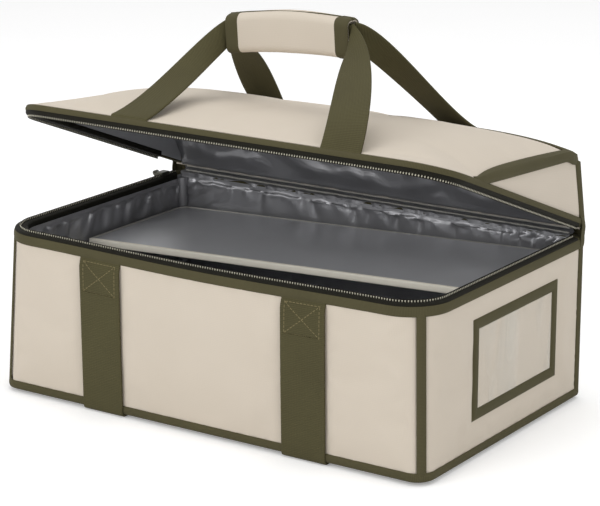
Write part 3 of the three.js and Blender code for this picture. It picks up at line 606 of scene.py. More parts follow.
seedStitch = seedCube(strap["stitch"], 0.24)
line = strapLine()
frontY, frontZ = line[:strap["downSteps"]].T
across = np.linspace(bag["webWidth"] / 2, -bag["webWidth"] / 2, 13)
drift = strap["wander"] * np.sin(np.linspace(0, 2 * math.pi, len(line)))
for (name, _), x in zip(ends, bag["straps"]):
    points = at(x + across + drift[:, None], line[:, :1], line[:, 1:])
    sewn(f"{name}_strap_web", settle(points), strap["thickness"], "body", "webbing", oliveWebbing,
         f"{name}_strap", rounded=0.5)
    # a cross in a box, sewn at each end
    w, high, low = strap["boxWidth"] / 2, strap["boxTop"], strap["boxTop"] - strap["boxHeight"]
    marks = [(-w, high), (w, high), (w, low), (-w, low), (-w, high), (w, low), (-w, low), (w, high)]
    runs = [polyline(np.array([[x + x0, 0, z0], [x + x1, 0, z1]]), strap["stitchStep"])
            for (x0, z0), (x1, z1) in zip(marks, marks[1:])]
    spots, headings = (np.concatenate(run) for run in zip(*runs))
    depth = np.interp(spots[:, 2], frontZ[::-1], frontY[::-1]) - strap["stitchProud"]
    for word, face in (("front", -1), ("back", 1)):
        spots[:, 1] = -face * depth
        sewing = copyAlong(f"{name}_{word}_strap_stitch", seedStitch, settle(spots), headings, (0, face, 0))
        wear(sewing, "body", "webbing", tanThread)
print("straps done")


# Label window on the right end: a mitred tape frame over clear vinyl
window = {"bar": 11, "overlap": 2, "bulge": 0.9, "bulgeReach": 18, "filmDepth": 0.3,
          "section": (0.2, 1.2, 1.7, 1.8, 1.8, 1.7, 1.2, 0.2)}
rows = []
for corner in range(4):
    for share in np.linspace(0, 1, 24, endpoint=False):
        row = []
        for inset, proud in zip(np.linspace(0, window["bar"], len(window["section"])), window["section"]):
            low, high = windowLow[1:] + inset, windowHigh[1:] - inset
            loop = [(low[0], low[1]), (high[0], low[1]), (high[0], high[1]), (low[0], high[1])]
            start, end = np.array(loop[corner]), np.array(loop[(corner + 1) % 4])
            row.append((halfWidth + proud, *(start + (end - start) * share)))
        rows.append(row[::-1])
sewn("window_tape", np.array(rows + rows[:1]), 1.2, "body", "binding", oliveTape, "window_frame", rounded=0.3,
     joined=True)
margin = window["bar"] - window["overlap"]
y = np.linspace(windowLow[1] + margin, windowHigh[1] - margin, 46)
z = np.linspace(windowLow[2] + margin, windowHigh[2] - margin, 30)
yy, zz = np.meshgrid(y, z)
film = at(halfWidth + window["filmDepth"], yy, zz)
edge = np.minimum(np.minimum(yy - y[0], y[-1] - yy), np.minimum(zz - z[0], z[-1] - zz))
wavy = 0.8 + 0.5 * ripple(film * (1, 1, 0.4), 24, 5)
film[..., 0] += window["bulge"] * smooth(edge / window["bulgeReach"]) * wavy
piece = sewn("window_vinyl", film, 0.3, "body", "film", clearFilm, "window_film")
print("window done")


# Zip: woven tape on each rim and a coil of nylon teeth
# the teeth of a number five coil are 1.3 mm apart; drawn at 2.8 mm so that they show
zipper = {"inset": {"lower_zip": 4.6, "upper_zip": 2.4}, "skirt": {"lower_zip": 2.2, "upper_zip": 4.0},
          "pitch": 2.8, "tooth": (1.25, 1.9, 2.1), "endFromBack": 11, "fromRim": 0.6, "fromHinge": 1.2,
          "beforeSlider": 2.5}
sliderFront = nodeBox("zip_slider")[0][1] - zipper["beforeSlider"]
seedTooth = seedCube(zipper["tooth"], 0.4)


def zipLine(z, proud, leftEnd):
    steps = stations(16, 60)
    points, plan = (
        np.concatenate([wallAt(side, steps, *height) for side in ("left", "front", "right")])
        for height in ((z, proud), (rimTop, 0))
    )
    rightEnd = halfDepth - zipper["endFromBack"]
    return points[plan[:, 1] < np.where(plan[:, 0] < 0, leftEnd, rightEnd)]


# the tape's section goes from its skirt outside, up the fin that holds the teeth, and down inside
def zipHalf(name, body, rimZ, up, place):
    tapeZ, coilZ = rimZ + up * zipper["fromRim"], hingeZ - up * zipper["fromHinge"]
    leftEnd = sliderFront if body == "lid" else halfDepth - zipper["endFromBack"]
    fin, skirt = zipper["inset"][name], zipper["skirt"][name]
    profile = [
        (1.2, -skirt), (1.2, -0.6 * skirt), (0.9, -0.3 * skirt), (0.1, -0.2), (1.9 - fin, 0.2),
        (0.6 - fin, 0.4), (0.4 - fin, 2.6), (-fin, 2.8), (-0.4 - fin, 2.6), (-0.6 - fin, 0.4),
        (-2 - fin, 0.3), (-9.5, 0.1), (-11.3, -0.7), (-11.8, -2.0), (-11.9, -3.6), (-11.8, -5.5),
    ]
    lines = [zipLine(tapeZ + up * lift, proud, leftEnd)[::2] for proud, lift in profile]
    sewn(f"{name}_tape", place(np.stack(lines[::-up], 1)), 0.5, body, "coil", zipTape, name)
    points, heading = polyline(zipLine(coilZ, -fin, leftEnd), zipper["pitch"], 0.75 - 0.25 * up)
    foot, ahead, above = (place(points + shift) for shift in (0, heading, np.array([0, 0, 1.0])))
    teeth = copyAlong(f"{name}_teeth", seedTooth, foot, ahead - foot, above - foot)
    # the teeth are painted pale: part own colour, part painted highlight
    wear(teeth, body, "coil", coilWithPaintedGlint)


zipHalf("lower_zip", "body", rimTop, 1, settle)


# The lid, drawn closed and then opened about the hinge
lid = {
    "edgeHeight": 10, "backHeight": 69, "backLean": 46, "backCrown": 6, "bulge": 16, "sharpness": 6,
    "ease": 0.9, "sideSeamFromFront": 68, "tapeHeight": 8.4, "cornerDrop": 6, "cornerReach": 24,
    "leanFrom": 60, "padding": 7.0, "puff": 2.0, "backPuff": 2.6, "backPuffReach": 26, "backPadLow": 2,
    "backDip": 0.6, "backRipple": 0.5, "backRippleReach": 20, "backInset": 1,
}
lidEdge = lidRim + lid["edgeHeight"]
lidTapeTop = lidRim + lid["tapeHeight"]
backTopY = halfDepth - lid["backLean"]
backTopZ = lidRim + lid["backHeight"]
seamStart = -halfDepth + lid["sideSeamFromFront"]
lean = lid["backLean"] / lid["backHeight"]


def opened(points):
    points = np.array(points, float)
    dy, dz = points[..., 1] - hingeY, points[..., 2] - hingeZ
    points[..., 1] = hingeY + dy * math.cos(openAngle) + dz * math.sin(openAngle)
    points[..., 2] = hingeZ - dy * math.sin(openAngle) + dz * math.cos(openAngle)
    return points


def frontEdge(x, inset):
    radius = bag["frontRadiusRim"] - inset
    past = np.clip(np.abs(x) - (halfWidth - inset - radius), 0, radius)
    return -(halfDepth - inset) + radius - np.sqrt(radius ** 2 - past ** 2)


def sideSeam(y):
    climb = np.maximum((y - seamStart) / (backTopY - seamStart), 0) * (backTopZ - lidEdge)
    nearCorner = smooth((y - backTopY + lid["cornerReach"]) / lid["cornerReach"])
    return lidEdge + climb - lid["cornerDrop"] * nearCorner


def lidTop(x, y):
    t = np.clip((backTopY - y) / (backTopY - frontEdge(x, 0)), -0.2, 1)
    middle = lidEdge + (backTopZ + lid["backCrown"] - lidEdge) * (1 - t) + 4 * lid["bulge"] * t * (1 - t)
    shoulder = np.maximum(1 - (np.abs(x) / halfWidth) ** lid["sharpness"], 0) ** lid["ease"]
    side = sideSeam(y)
    return side + (middle - side) * shoulder


def backPlane(z, inset):
    return halfDepth - inset * math.hypot(1, lean) - (z - lidRim) * lean


def backMeetsTop(x, inset, drop):
    low, high = np.full(np.shape(x), backTopY - 40.0), np.full(np.shape(x), halfDepth)
    for _ in range(40):
        y = (low + high) / 2
        above = lidTop(x, y) - drop > lidRim + (halfDepth - inset * math.hypot(1, lean) - y) / lean
        high = np.where(above, y, high)
        low = np.where(above, low, y)
    return (low + high) / 2


def inClosedRim(points):  # the lid's rim follows the leaning back
    points = np.array(points, float)
    share = smooth((points[..., 1] - lid["leanFrom"]) / (halfDepth - lid["leanFrom"]))
    points[..., 1] -= (points[..., 2] - lidRim) * lean * share
    return points


def spread(reach, count):  # evenly spaced, closer towards both ends
    share = np.linspace(-1, 1, count)
    return reach * np.sin(share * math.pi / 2) * 0.5 + reach * share * 0.5


# a triangle between rim, seam and leaning back, whose slanting edges are found by trying again
def lidTriangle(rows, startY, inset, floorZ, roofAt, mirrored):
    u, v = np.meshgrid(np.linspace(0, 1, 50)[::-1 if mirrored else 1], np.linspace(0, 1, rows))
    z = np.full(u.shape, floorZ + 1.0)
    for _ in range(12):
        y = startY + u * (backPlane(z, inset) - startY)
        z = floorZ + v * (roofAt(y) - floorZ)
    return y, z


# a sheet from the front edge to the top of the back, and how far each point is from its edges
def lidSheet(x, rows, inset, drop):
    front, back = frontEdge(x, inset), backMeetsTop(x, inset, drop)
    yy = front + (back - front) * np.linspace(0, 1, rows)[:, None]
    return np.broadcast_to(x, yy.shape), yy, np.minimum(yy - front, back - yy)


# top: a crowned pillow of canvas and foam
top = {"inset": 0.4, "sink": 0.8, "ripple": 0.4, "rippleSize": 60, "rippleReach": 40, "thickness": 7.5,
       "held": (5, 14), "pressure": 1.6, "spare": 0.003, "bending": 6, "frames": 16, "cap": 3.0}
xx, yy, fromSeam = lidSheet(spread(halfWidth - top["inset"], 92), 56, top["inset"], top["inset"])
fromSeam = np.minimum(halfWidth - np.abs(xx), fromSeam)
flat = at(xx, yy, lidTop(xx, yy) - top["sink"])
flat[..., 2] += top["ripple"] * ripple(flat, top["rippleSize"], 7) * smooth(fromSeam / top["rippleReach"])
piece = layCloth("lid_top_pad", opened(flat))
simulate(piece, np.interp(fromSeam, top["held"], [1, 0]), top)
thicken(piece, top["thickness"])
wear(piece, "lid", "canvas", creamCanvas, "lid_top_panel", "lid_top_foam")

# sides: triangles of padded canvas between the rim tape and the seam tape
sidePad = {"before": 6, "inset": 0.6, "underTape": 4, "puffReach": 24, "ripple": 0.4, "rippleReach": 15}
for name, sign in ends:
    low = lidTapeTop - sidePad["underTape"]
    y, z = lidTriangle(18, seamStart - sidePad["before"], sidePad["inset"], low,
                       lambda y: np.maximum(sideSeam(y), lidTapeTop) - 1, sign < 0)
    seamGap = np.minimum(np.minimum(z - low, sideSeam(y) - z), backPlane(z, sidePad["inset"]) - y)
    out = halfWidth - sidePad["inset"] + lid["puff"] * smooth(seamGap / sidePad["puffReach"])
    out += sidePad["ripple"] * ripple(at(sign * out, y, z), 30, 11) * smooth(seamGap / sidePad["rippleReach"])
    points = opened(at(sign * out, y, z))
    piece = sewn(f"lid_{name}_pad", points, lid["padding"], "lid", "canvas", creamCanvas,
                 f"lid_{name}_panel", f"lid_{name}_foam")

# back: leans from the hinge to the top seam
x = np.linspace(halfWidth - lid["backInset"], -halfWidth + lid["backInset"], 84)
low = lidRim + lid["backPadLow"]
topZ = lidRim + (halfDepth - backMeetsTop(x, 0, 0.5)) / lean
zz = low + np.linspace(0, 1, 24)[:, None] * (topZ - low)
seamGap = np.minimum(np.minimum(zz - low, topZ - zz), halfWidth - np.abs(x))
puff = -lid["backDip"] + lid["backPuff"] * smooth(seamGap / lid["backPuffReach"])
points = at(x, backPlane(zz, -puff), zz)
points[..., 1] += lid["backRipple"] * ripple(points, 40, 13) * smooth(seamGap / lid["backRippleReach"])
piece = sewn("lid_back_pad", opened(points), lid["padding"], "lid", "canvas", creamCanvas, "lid_back_panel",
             "lid_back_foam")
print("lid panels done")

# lid tapes: round the rim, over the seam of the top, and down the two back corners
lidSection = [
    (0.9, lidTapeTop + 0.3), (1.7, lidTapeTop - 0.8), (2.1, lidTapeTop - 2.5), (2.0, lidRim + 4.2),
    (1.5, lidRim + 3.3), (0.3, lidRim + 2.7), (0.1, lidRim + 0.7), (-1, lidRim - 0.2), (-5, lidRim - 0.4),
    (-9.4, lidRim - 0.1), (tape["wallTop"], lidRim + 0.9),
]
bound("lid_rim_tape", opened(inClosedRim(hoop(lidSection))), "lid", "lid_rim_binding", joined=True)
zipHalf("upper_zip", "lid", lidRim, -1, lambda rows: opened(inClosedRim(rows)))

# section steps: how far in over the top, or down the outside, with its height off the cloth
seamSteps = [(5.6, 0, 0.4), (4.6, 0, 1.1), (3.0, 0, 1.4), (1.4, 0, 1.5), (0.3, 0.4, 1.5), (0, 2.2, 1.6),
             (0, 4.2, 1.5), (0, 6.0, 1.2), (0, 7.0, 0.4)]
seamTape = {"tip": 9, "point": 26, "sink": 0.9, "turn": 9, "turnIn": 1.5}


def seamRing(x, y, inX, inY):
    # the front end runs to a point under the rim tape
    taper = max(0.02, math.tanh((y - seamStart + seamTape["tip"]) / seamTape["point"]))
    ring = []
    for inward, down, proud in seamSteps:
        inward *= taper
        proud = proud * taper - seamTape["sink"] * (1 - taper)
        px, py = x - inX * inward, y - inY * inward
        if inward > 0.05:
            spot = np.array([px, py, lidTop(px, py) + proud])
            if inward < 1:
                spot += np.array([inX, inY, 0]) * proud * 0.5
        else:
            height = lidTop(x, y) - down
            spot = np.array([px + inX * proud, py + inY * (proud * 1.1 + down * lean), height + inY * 0.3])
            spot[1] += (1 - inY) * min(0, backPlane(height, 0) - y)
        ring.append(spot)
    return ring


turnY = backTopY - seamTape["turn"]
rings = [seamRing(-halfWidth, y, -1, 0) for y in np.linspace(seamStart - seamTape["tip"], turnY, 50)]
for share in np.linspace(0, 1, 7):
    turn = share * math.pi / 2
    rings.append(seamRing(-halfWidth + seamTape["turnIn"] * share, turnY + seamTape["turn"] * share,
                          -math.cos(turn), math.sin(turn)))
mirrored = [[spot * np.array([-1, 1, 1]) for spot in ring] for ring in rings[::-1]]
rings += [seamRing(x, float(backMeetsTop(x, 0, 0)), 0, 1) for x in spread(halfWidth - 4, 70)[1:-1]]
bound("lid_seam_tape", opened(np.array(rings + mirrored)), "lid", "lid_seam_binding")

# steps across a corner tape: along the side or along the back, with its height off the cloth
cornerSteps = [(10, 0, 0.4), (8, 0, 1.2), (4.5, 0, 1.5), (1.5, 0, 1.5), (0, 0, 1.3), (0, 1, 1.5), (0, 3, 1.5),
               (0, 5.5, 1.2), (0, 7, 0.4)]
for name, sign in ends:
    z = np.linspace(lidTapeTop - tape["under"], backTopZ - lid["cornerDrop"] - tape["under"], 30)
    columns = []
    for onSide, onBack, lift in cornerSteps:
        lift = lift if onSide or onBack else lift * 0.75
        x = sign * (halfWidth - onBack + (0 if onBack else lift))
        columns.append(at(x, backPlane(z, 0) - onSide + (0 if onSide else lift), z))
    bound(f"lid_{name}_corner_tape", opened(np.stack(columns[::sign], 1)), "lid", f"lid_{name}_binding")
print("lid tapes done")


# Fabric hinge: one strip of tape outside and one of lining inside, both drawn bent round the hinge to the
# open lid
hinge = {"reach": halfWidth - 6, "wrap": 10, "turn": 3, "tape": 0.7, "film": 0.4, "bodyRow": 3, "lidRow": 5,
         "gatherRows": 3, "gatherIn": 2.4, "gatherUp": 1.8, "drawnIn": 0.985, "ripple": 0.5}


def hingeStrip(name, strip, thickness, slot, material, *nodes):
    piece = sewn(name, strip, thickness, None, slot, material, *nodes)
    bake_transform(piece)


outside = [(1.9, -13), (2.7, -10), (2.9, -6), (2.8, -2.6), (3.0, 0), (3.0, 4.5), (3.0, 7), (2.9, 10),
           (2.0, 13)]
proud, z = np.array(outside).T[..., None]
z = z + hingeZ
aroundBack = np.concatenate([np.linspace(-hinge["wrap"], -0.01, 8), np.linspace(0, 1, 62),
                             1 + np.linspace(0.01, hinge["wrap"], 8)])
straight = np.clip(aroundBack, 0, 1)
past = np.where(aroundBack < 0, -aroundBack, np.maximum(aroundBack - 1, 0))
side = np.where(aroundBack < 0.5, 1, -1)
turn = smooth(past / hinge["turn"])
edgeY = np.where(z > lidRim, backPlane(z, 0), halfDepth)
x = (halfWidth - 1) * (1 - 2 * straight) + side * (1 + proud) * turn
strip = at(x, edgeY + proud * (1 - turn) - past, z)
strip[hinge["lidRow"]:] = opened(strip[hinge["lidRow"]:])
hingeStrip("hinge_tape", strip, hinge["tape"], "binding", oliveTape, "hinge_strip", "lid_hinge_strip")

x = np.linspace(-hinge["reach"], hinge["reach"], 260)
inside = [
    (138.0, rimTop - 3), (138.4, rimTop + 0.6), (140, rimTop + 1.4), (144, rimTop + 1.9), (147.5, hingeZ),
    (143.5, lidRim - 1.6), (139.2, lidRim - 1.2), (137.2, lidRim - 0.2), (135.8, lidRim + 2.5),
]
y, z = np.array(inside).T[..., None]
strip = at(x * hinge["drawnIn"], y, z)
strip[hinge["lidRow"]:] = opened(strip[hinge["lidRow"]:])
strip[..., 2] += hinge["ripple"] * ripple(strip, 9, 17)
gathered = strip[:hinge["gatherRows"]]
gather = ripple(gathered * (1, 0.2, 0.2), 8, 18)  # the wall lining's puckers run on over the edge
gathered[..., 1] -= hinge["gatherIn"] * gather
gathered[..., 2] += hinge["gatherUp"] * gather
# the inner strip wears the darker film: a painted shade line in the hinge fold
hingeStrip("hinge_lining", strip, hinge["film"], "lining", shadedLidFilm)


def tube(name, path, radius, turns=10):
    angle = np.linspace(0, 2 * math.pi, turns + 1)
    heading = np.gradient(path, axis=0)
    heading /= np.linalg.norm(heading, axis=1, keepdims=True)
    side = np.cross(heading, (0, 0, 1.0))
    side /= np.linalg.norm(side, axis=1, keepdims=True)
    over = np.cross(side, heading)
    ring = np.cos(angle)[None, :, None] * side[:, None] + np.sin(angle)[None, :, None] * over[:, None]
    return layCloth(name, path[:, None] + radius * ring, joined=True, capped=True)


# piping: a thin roll of lining along each side of the fold
pipe = {"radius": 1.0, "fromEnd": 13, "ripple": 0.3, "body": (143.6, rimTop + 2.2),
        "lid": (144.6, lidRim - 1.8)}
for body in ("body", "lid"):
    path = at(np.linspace(-halfWidth + pipe["fromEnd"], halfWidth - pipe["fromEnd"], 70), *pipe[body])
    path[:, 2] += pipe["ripple"] * ripple(path, 12, 19)
    piece = tube(f"{body}_hinge_piping", path if body == "body" else opened(path), pipe["radius"])
    wear(piece, body, "lining", greyPiping)
print("hinge done")


# Linings: glossy film with spare cloth, drawn into puckers along its top seam
lining = {"inset": -10.7, "low": 16, "fineFrom": 118, "top": rimTop - 1.2, "thickness": 0.5, "pressure": 0.2,
          "spare": 0.025, "bending": 1.5, "frames": 16, "cap": 1.0, "pleat": 3.6, "roll": 1.8, "swell": 0.9,
          "hingeEnd": 0.8, "hingeZone": ((130, 90), (40, 60)), "least": -2.0, "most": 6.5, "besideShelf": 3.8,
          "tall": 3.6, "tallWidth": 12, "tallZone": ((150, 45), (100, 30)), "rollHeight": 7, "rollFade": 26,
          "seamFade": 5, "pressed": 0.35, "held": 2, "endHeld": 0.1, "shelfPass": (18, 26),
          "seamCover": {"front": 5, "right": 5, "back": 1.5, "left": 5},
          "gap": {"front": (14, 40), "right": (8, 20), "back": (6, 24), "left": (6, 16)},
          "reach": {"front": (12, 40), "right": (18, 50), "back": (9, 34), "left": (22, 60)},
          "seed": {"front": 4, "right": 9, "back": 21, "left": 15}}
shelfHeight = 140.5
shelfRise = 20.4 / 468  # the divider stands a little higher at its right end


def shelfTop(x):
    return shelfHeight + shelfRise * x


def intoCorner(x, y, zone):  # 0 to 1 towards the hinge's right end
    (startX, overX), (startY, overY) = zone
    return smooth((x - startX) / overX) * smooth((y - startY) / overY)


# each pucker starts at the seam as a sharp fold, then widens and fades downwards
def puckers(along, depth, side):
    draw = np.random.default_rng(lining["seed"][side])
    total = np.zeros(depth.shape)
    spot = 0
    while spot < along.max():
        spot += draw.uniform(*lining["gap"][side])
        slant = draw.uniform(-0.3, 0.3)
        size = draw.uniform(0.35, 1.0) * draw.choice([-0.8, 1.0])
        far = draw.uniform(*lining["reach"][side])
        off = (along - spot - slant * depth) / (2.4 + 0.18 * depth)
        total += size * np.exp(-off ** 2 - (depth / far) ** 2)
    return total


for side, plan in sides.items():
    steps = stations(12, 290 if plan["long"] else 180)[::-1]
    heights = np.concatenate([np.linspace(lining["low"], lining["fineFrom"], 9, endpoint=False),
                              np.linspace(lining["fineFrom"], lining["top"], 30)])
    station, z = np.meshgrid(steps, heights)
    points = wallAt(side, station, z, lining["inset"])
    x, y = points[..., 0], points[..., 1]
    depth = lining["top"] - z
    along = np.broadcast_to(distance(points, 1), z.shape)
    belowTape = lining["seamCover"][side]  # the zip tape covers all top seams but the back one
    under = np.maximum(depth - belowTape, 0)
    aboveShelf = z - shelfTop(x)
    pressed = lining["pressed"] * np.exp(-((aboveShelf + 2.5) / 6) ** 2)  # where the divider rests
    free = smooth((depth - belowTape) / lining["seamFade"]) * (1 - pressed)
    towardsHinge = 1 + lining["hingeEnd"] * intoCorner(x, y, lining["hingeZone"])
    pucker = puckers(along, under / towardsHinge, side) * towardsHinge
    # the fold over the seam is plump
    roll = lining["roll"] * smooth(under / lining["rollHeight"])
    roll *= 1 - smooth((under - lining["rollHeight"]) / lining["rollFade"])
    inward = roll * (1 + 0.4 * pucker) + lining["pleat"] * pucker * smooth((under - 1) / 9)
    inward += lining["swell"] * ripple(points * (1, 1, 0.35), 26, 23)
    # tall folds stand side by side at the hinge's right end
    crowd = intoCorner(x, y, lining["tallZone"])
    wave = np.sin(2 * math.pi * (along / lining["tallWidth"] + 0.3 * np.sin(along / 8) + 0.012 * depth))
    tall = lining["tall"] * wave * (1 + 0.3 * np.sin(along / 15)) + lining["swell"]
    inward += crowd * (tall - inward)
    # folds are lower where the divider passes as it lifts
    room = np.interp(aboveShelf, lining["shelfPass"], [lining["besideShelf"], lining["most"]])
    inward = np.maximum(room * np.tanh(inward / room), lining["least"]) * free
    piece = layCloth(f"{side}_film", settle(wallAt(side, station, z, lining["inset"] - inward)))
    held = np.minimum(station, 3 - station) < lining["endHeld"]
    held |= (depth < belowTape + lining["held"]) | (z < lining["low"] + lining["held"])
    flat = pointsOf(piece)
    simulate(piece, np.where(held, 1, 0), lining)
    movePoints(piece, flat + (pointsOf(piece) - flat) * free.reshape(-1, 1))
    thicken(piece, lining["thickness"])
    wear(piece, "body", "lining", greyFilm, f"{side}_lining")

# a roll of spare film stands in each back corner
spareRoll = {"in": 14, "radius": 5.0, "uneven": 0.5, "endGap": 4}
for name, sign in ends:
    z = np.linspace(lining["low"] + spareRoll["endGap"], rimTop - spareRoll["endGap"], 30)[:, None]
    angle = np.linspace(0, 2 * math.pi, 17)
    bulge = spareRoll["radius"] + spareRoll["uneven"] * np.sin(z / 17 + sign)
    points = at(sign * (halfWidth - spareRoll["in"]) + bulge * np.cos(angle),
                halfDepth - spareRoll["in"] + bulge * np.sin(angle), z)
    piece = layCloth(f"{name}_lining_roll", points, joined=True, capped=True)
    wear(piece, "body", "lining", greyFilm)

floorFilm = {"inset": 11.5, "height": 17.4, "corner": 8.0, "thickness": 0.6}
reachX, reachY = halfWidth - floorFilm["inset"], halfDepth - floorFilm["inset"]
xx, yy = np.meshgrid(np.linspace(-reachX, reachX, 90), np.linspace(-reachY, reachY, 56))
points = at(xx, yy, floorFilm["height"])
points[..., 2] += 0.5 * ripple(points, 35, 29) + 0.25 * ripple(points, 12, 31)
squeeze = np.clip((np.abs(yy) - (reachY - floorFilm["corner"])) / floorFilm["corner"], 0, 1)
points[..., 0] *= 1 - (1 - np.sqrt(1 - squeeze ** 2)) * floorFilm["corner"] / halfWidth
piece = sewn("base_film", points, floorFilm["thickness"], "body", "lining", greyFilm, "base_lining")

# lid lining: the top sheet and three side sheets
inLid = {"inset": 10.7, "drop": 10.5, "pressure": 0.2, "spare": 0.02, "bending": 3, "frames": 18, "cap": 5,
         "fold": 9.0, "crease": 4.0, "topFold": 2.6, "topCrease": 1.0, "ease": 1.5, "film": 0.5, "held": 4,
         "sideFromFront": 45, "sideCrease": 0.8, "sideLow": 1.5, "sideLeast": 2, "topLow": 1.5, "topFade": 26,
         "backLow": 1, "backFade": 14, "backInset": 11.5}
inX = halfWidth - inLid["inset"]
xx, yy, fromSeam = lidSheet(spread(inX, 92)[::-1], 52, inLid["inset"], inLid["drop"])
fromSeam = np.minimum(inX - np.abs(xx), fromSeam)
points = at(xx, yy, np.maximum(lidTop(xx, yy) - inLid["drop"], lidRim + inLid["topLow"]))
skew = np.array([[0.5, 0.4, 0], [-0.4, 0.9, 0], [0, 0, 1]])
sag = inLid["topFold"] * ripple(points * (0.5, 1, 1), 24, 37) + inLid["ease"]
sag += inLid["topCrease"] * np.abs(ripple(points @ skew, 22, 38))
points[..., 2] -= np.maximum(sag, 0) * smooth(fromSeam / inLid["topFade"])
piece = layCloth("lid_top_film", opened(points))
simulate(piece, np.where(fromSeam < inLid["held"], 1, 0), inLid)
thicken(piece, inLid["film"])
# the lid's top sheet wears the darker film: painted shade
wear(piece, "lid", "lining", shadedLidFilm, "lid_top_lining")

for name, sign in ends:
    y, z = lidTriangle(
        16, -halfDepth + inLid["sideFromFront"], inLid["inset"], lidRim + inLid["sideLow"],
        lambda y: np.maximum(lidTop(inX, y) - inLid["drop"], lidRim + inLid["sideLeast"]), sign > 0)
    points = at(sign * inX, y, z)
    points[..., 0] -= sign * inLid["sideCrease"] * np.abs(ripple(points, 18, 41))
    # the side sheets wear the lighter film: painted light where they face the opening
    piece = sewn(f"lid_{name}_film", opened(points), inLid["film"], "lid", "lining", paleLitFilm,
                 f"lid_{name}_lining")

x = np.linspace(-halfWidth + inLid["backInset"], halfWidth - inLid["backInset"], 180)
low = lidRim + inLid["backLow"]
topZ = lidTop(x, backMeetsTop(x, inLid["inset"], inLid["drop"])) - inLid["drop"]
zz = low + np.linspace(0, 1, 40)[:, None] * (topZ - low)
points = at(x, backPlane(zz, inLid["inset"]), zz)
skew = np.array([[0.6, 0, 0.5], [0, 1, 0], [-0.5, 0, 0.7]])
fold = inLid["fold"] * ripple(points * (0.45, 1, 0.8), 22, 43) + inLid["ease"]
fold += inLid["crease"] * np.abs(ripple(points @ skew, 20, 44))
points[..., 1] -= np.maximum(fold, 0) * smooth(np.minimum(zz - low, topZ - zz) / inLid["backFade"])
# the lid's back sheet wears the darker film: painted shade
piece = sewn("lid_back_film", opened(points), inLid["film"], "lid", "lining", shadedLidFilm, "lid_back_lining")
print("linings done")


def barAlong(name, x, y, z, depth, height, place=np.asarray):  # a bar along x with a rounded square section
    angle = np.linspace(0, 2 * math.pi, 25)
    section = np.stack([np.cos(angle), np.sin(angle)], 1)
    section = np.sign(section) * np.abs(section) ** 0.5 * (depth / 2, height / 2)
    points = at(x[:, None], y + section[:, 0], np.broadcast_to(z, x.shape)[:, None] + section[:, 1])
    return layCloth(name, place(points), joined=True, capped=True)


# Divider: a stiff board wrapped in the grey film, its front edge bound in cream
shelf = {"front": -24.7, "share": (0.977, 0.96, 1), "middle": 138, "pipe": 1.05, "pipeSink": 0.4,
         "side": 228.7, "back": 131.6, "cut": 5.8}
edge = {"depth": 5.0, "height": 7.2, "lap": 0.6, "proud": 0.7}


def resized(piece, share, y, z):
    still = (0, y / 1000, z / 1000)
    inEditMode(piece, lambda: bpy.ops.transform.resize(value=share, center_override=still))


piece = softCopy("shelf_cover", "shelf_board", 1.6)
resized(piece, shelf["share"], shelf["front"], shelf["middle"])  # it stands clear of the lining's folds
# the divider's cover is the lighter film: painted light on its top
wear(piece, "shelf", "lining", paleLitFilm, "shelf_board")
side, front, back, cut = (shelf[name] for name in ("side", "front", "back", "cut"))
x = np.linspace(-side, side, 40)
piece = barAlong("shelf_front_binding", x, front - edge["depth"] / 2 + edge["lap"],
                 shelfTop(x) + edge["proud"] - edge["height"] / 2, edge["depth"], edge["height"])
# the binding's cream is painted near white: painted light on the divider's front edge
wear(piece, "shelf", "canvas", creamEdgePaintedLight, "shelf_edge")
outline = [(-side, front), (-side, back - cut), (-side + cut, back), (side - cut, back), (side, back - cut),
           (side, front)]
runs = [np.linspace(a, b, 24, endpoint=False) for a, b in zip(outline, outline[1:])]
path = np.concatenate(runs + [outline[-1:]])
path = np.column_stack([path, shelfTop(path[:, 0]) - shelf["pipeSink"]])
wear(tube("shelf_piping", path, shelf["pipe"]), "shelf", "lining", greyPiping)
print("shelf done")


# The grip hangs askew, and its ends hang lower than its middle
grip = {"half": 70, "y": 4.2, "height": 34, "thickness": 22, "round": 7.5, "padding": 5.5, "endPadding": 2.8,
        "swell": 1.6, "tail": 8, "drop": 4.4, "tailThick": 2.4, "bound": 14, "deepBound": 16, "pipe": 1.1,
        "groove": 0.9, "arch": 4.0}
gripCentre = np.array([0, grip["y"], sum(corner[2] for corner in nodeBox("grip_pad")) / 2])
flapAxis = joints["flap_hinge"]["axis"]
gripTilt = math.atan2(flapAxis[2], flapAxis[0]) % math.pi


# from the grip's own straight shape to the way it hangs
def hung(points):
    x, y, z = np.moveaxis(np.array(points, float) - gripCentre, -1, 0)
    z = z - grip["arch"] * (x / grip["half"]) ** 2
    sine, cosine = math.sin(gripTilt), math.cos(gripTilt)
    return at(x * cosine - z * sine, y, x * sine + z * cosine) + gripCentre


# Handle legs: webbing that leaves the lid flat and stands on edge where it enters the grip
leg = {"width": 43, "tipHeight": 27, "thickness": 2.0, "footX": {"front": (-99, 139), "back": (-117, 117)},
       "tipX": 70.5, "tipY": 2.75, "seat": 0.4, "proud": 1.0, "tuck": 1.5}
# how each leg leaves the lid and reaches the grip: its left edge, then its right edge
legBends = {
    "front_left": ((15, 46, 12), (-31, -5, -14), (14, 22, 15), (-9, -26, -20)),
    "front_right": ((1, 16, 32), (4, -24, -14), (4, 12, 40), (34, -6, -20)),
    "back_left": ((-4, -28, 34), (-24, 10, 2), (-2, -18, 32), (0, 40, 4)),
    "back_right": ((-14, -16, 22), (8, 24, -13), (-15, -45, 24), (32, 8, 0)),
}
legSlack = {"front_right": (2.5, -15, 0)}  # this one's lower edge stands out in front of the grip's end


def bezier(start, startBend, endBend, end):
    t = np.linspace(0, 1, 48)[:, None]
    first, second = start + np.array(startBend), end + np.array(endBend)
    return (1 - t) ** 3 * start + 3 * t * (1 - t) ** 2 * first + 3 * t ** 2 * (1 - t) * second + t ** 3 * end


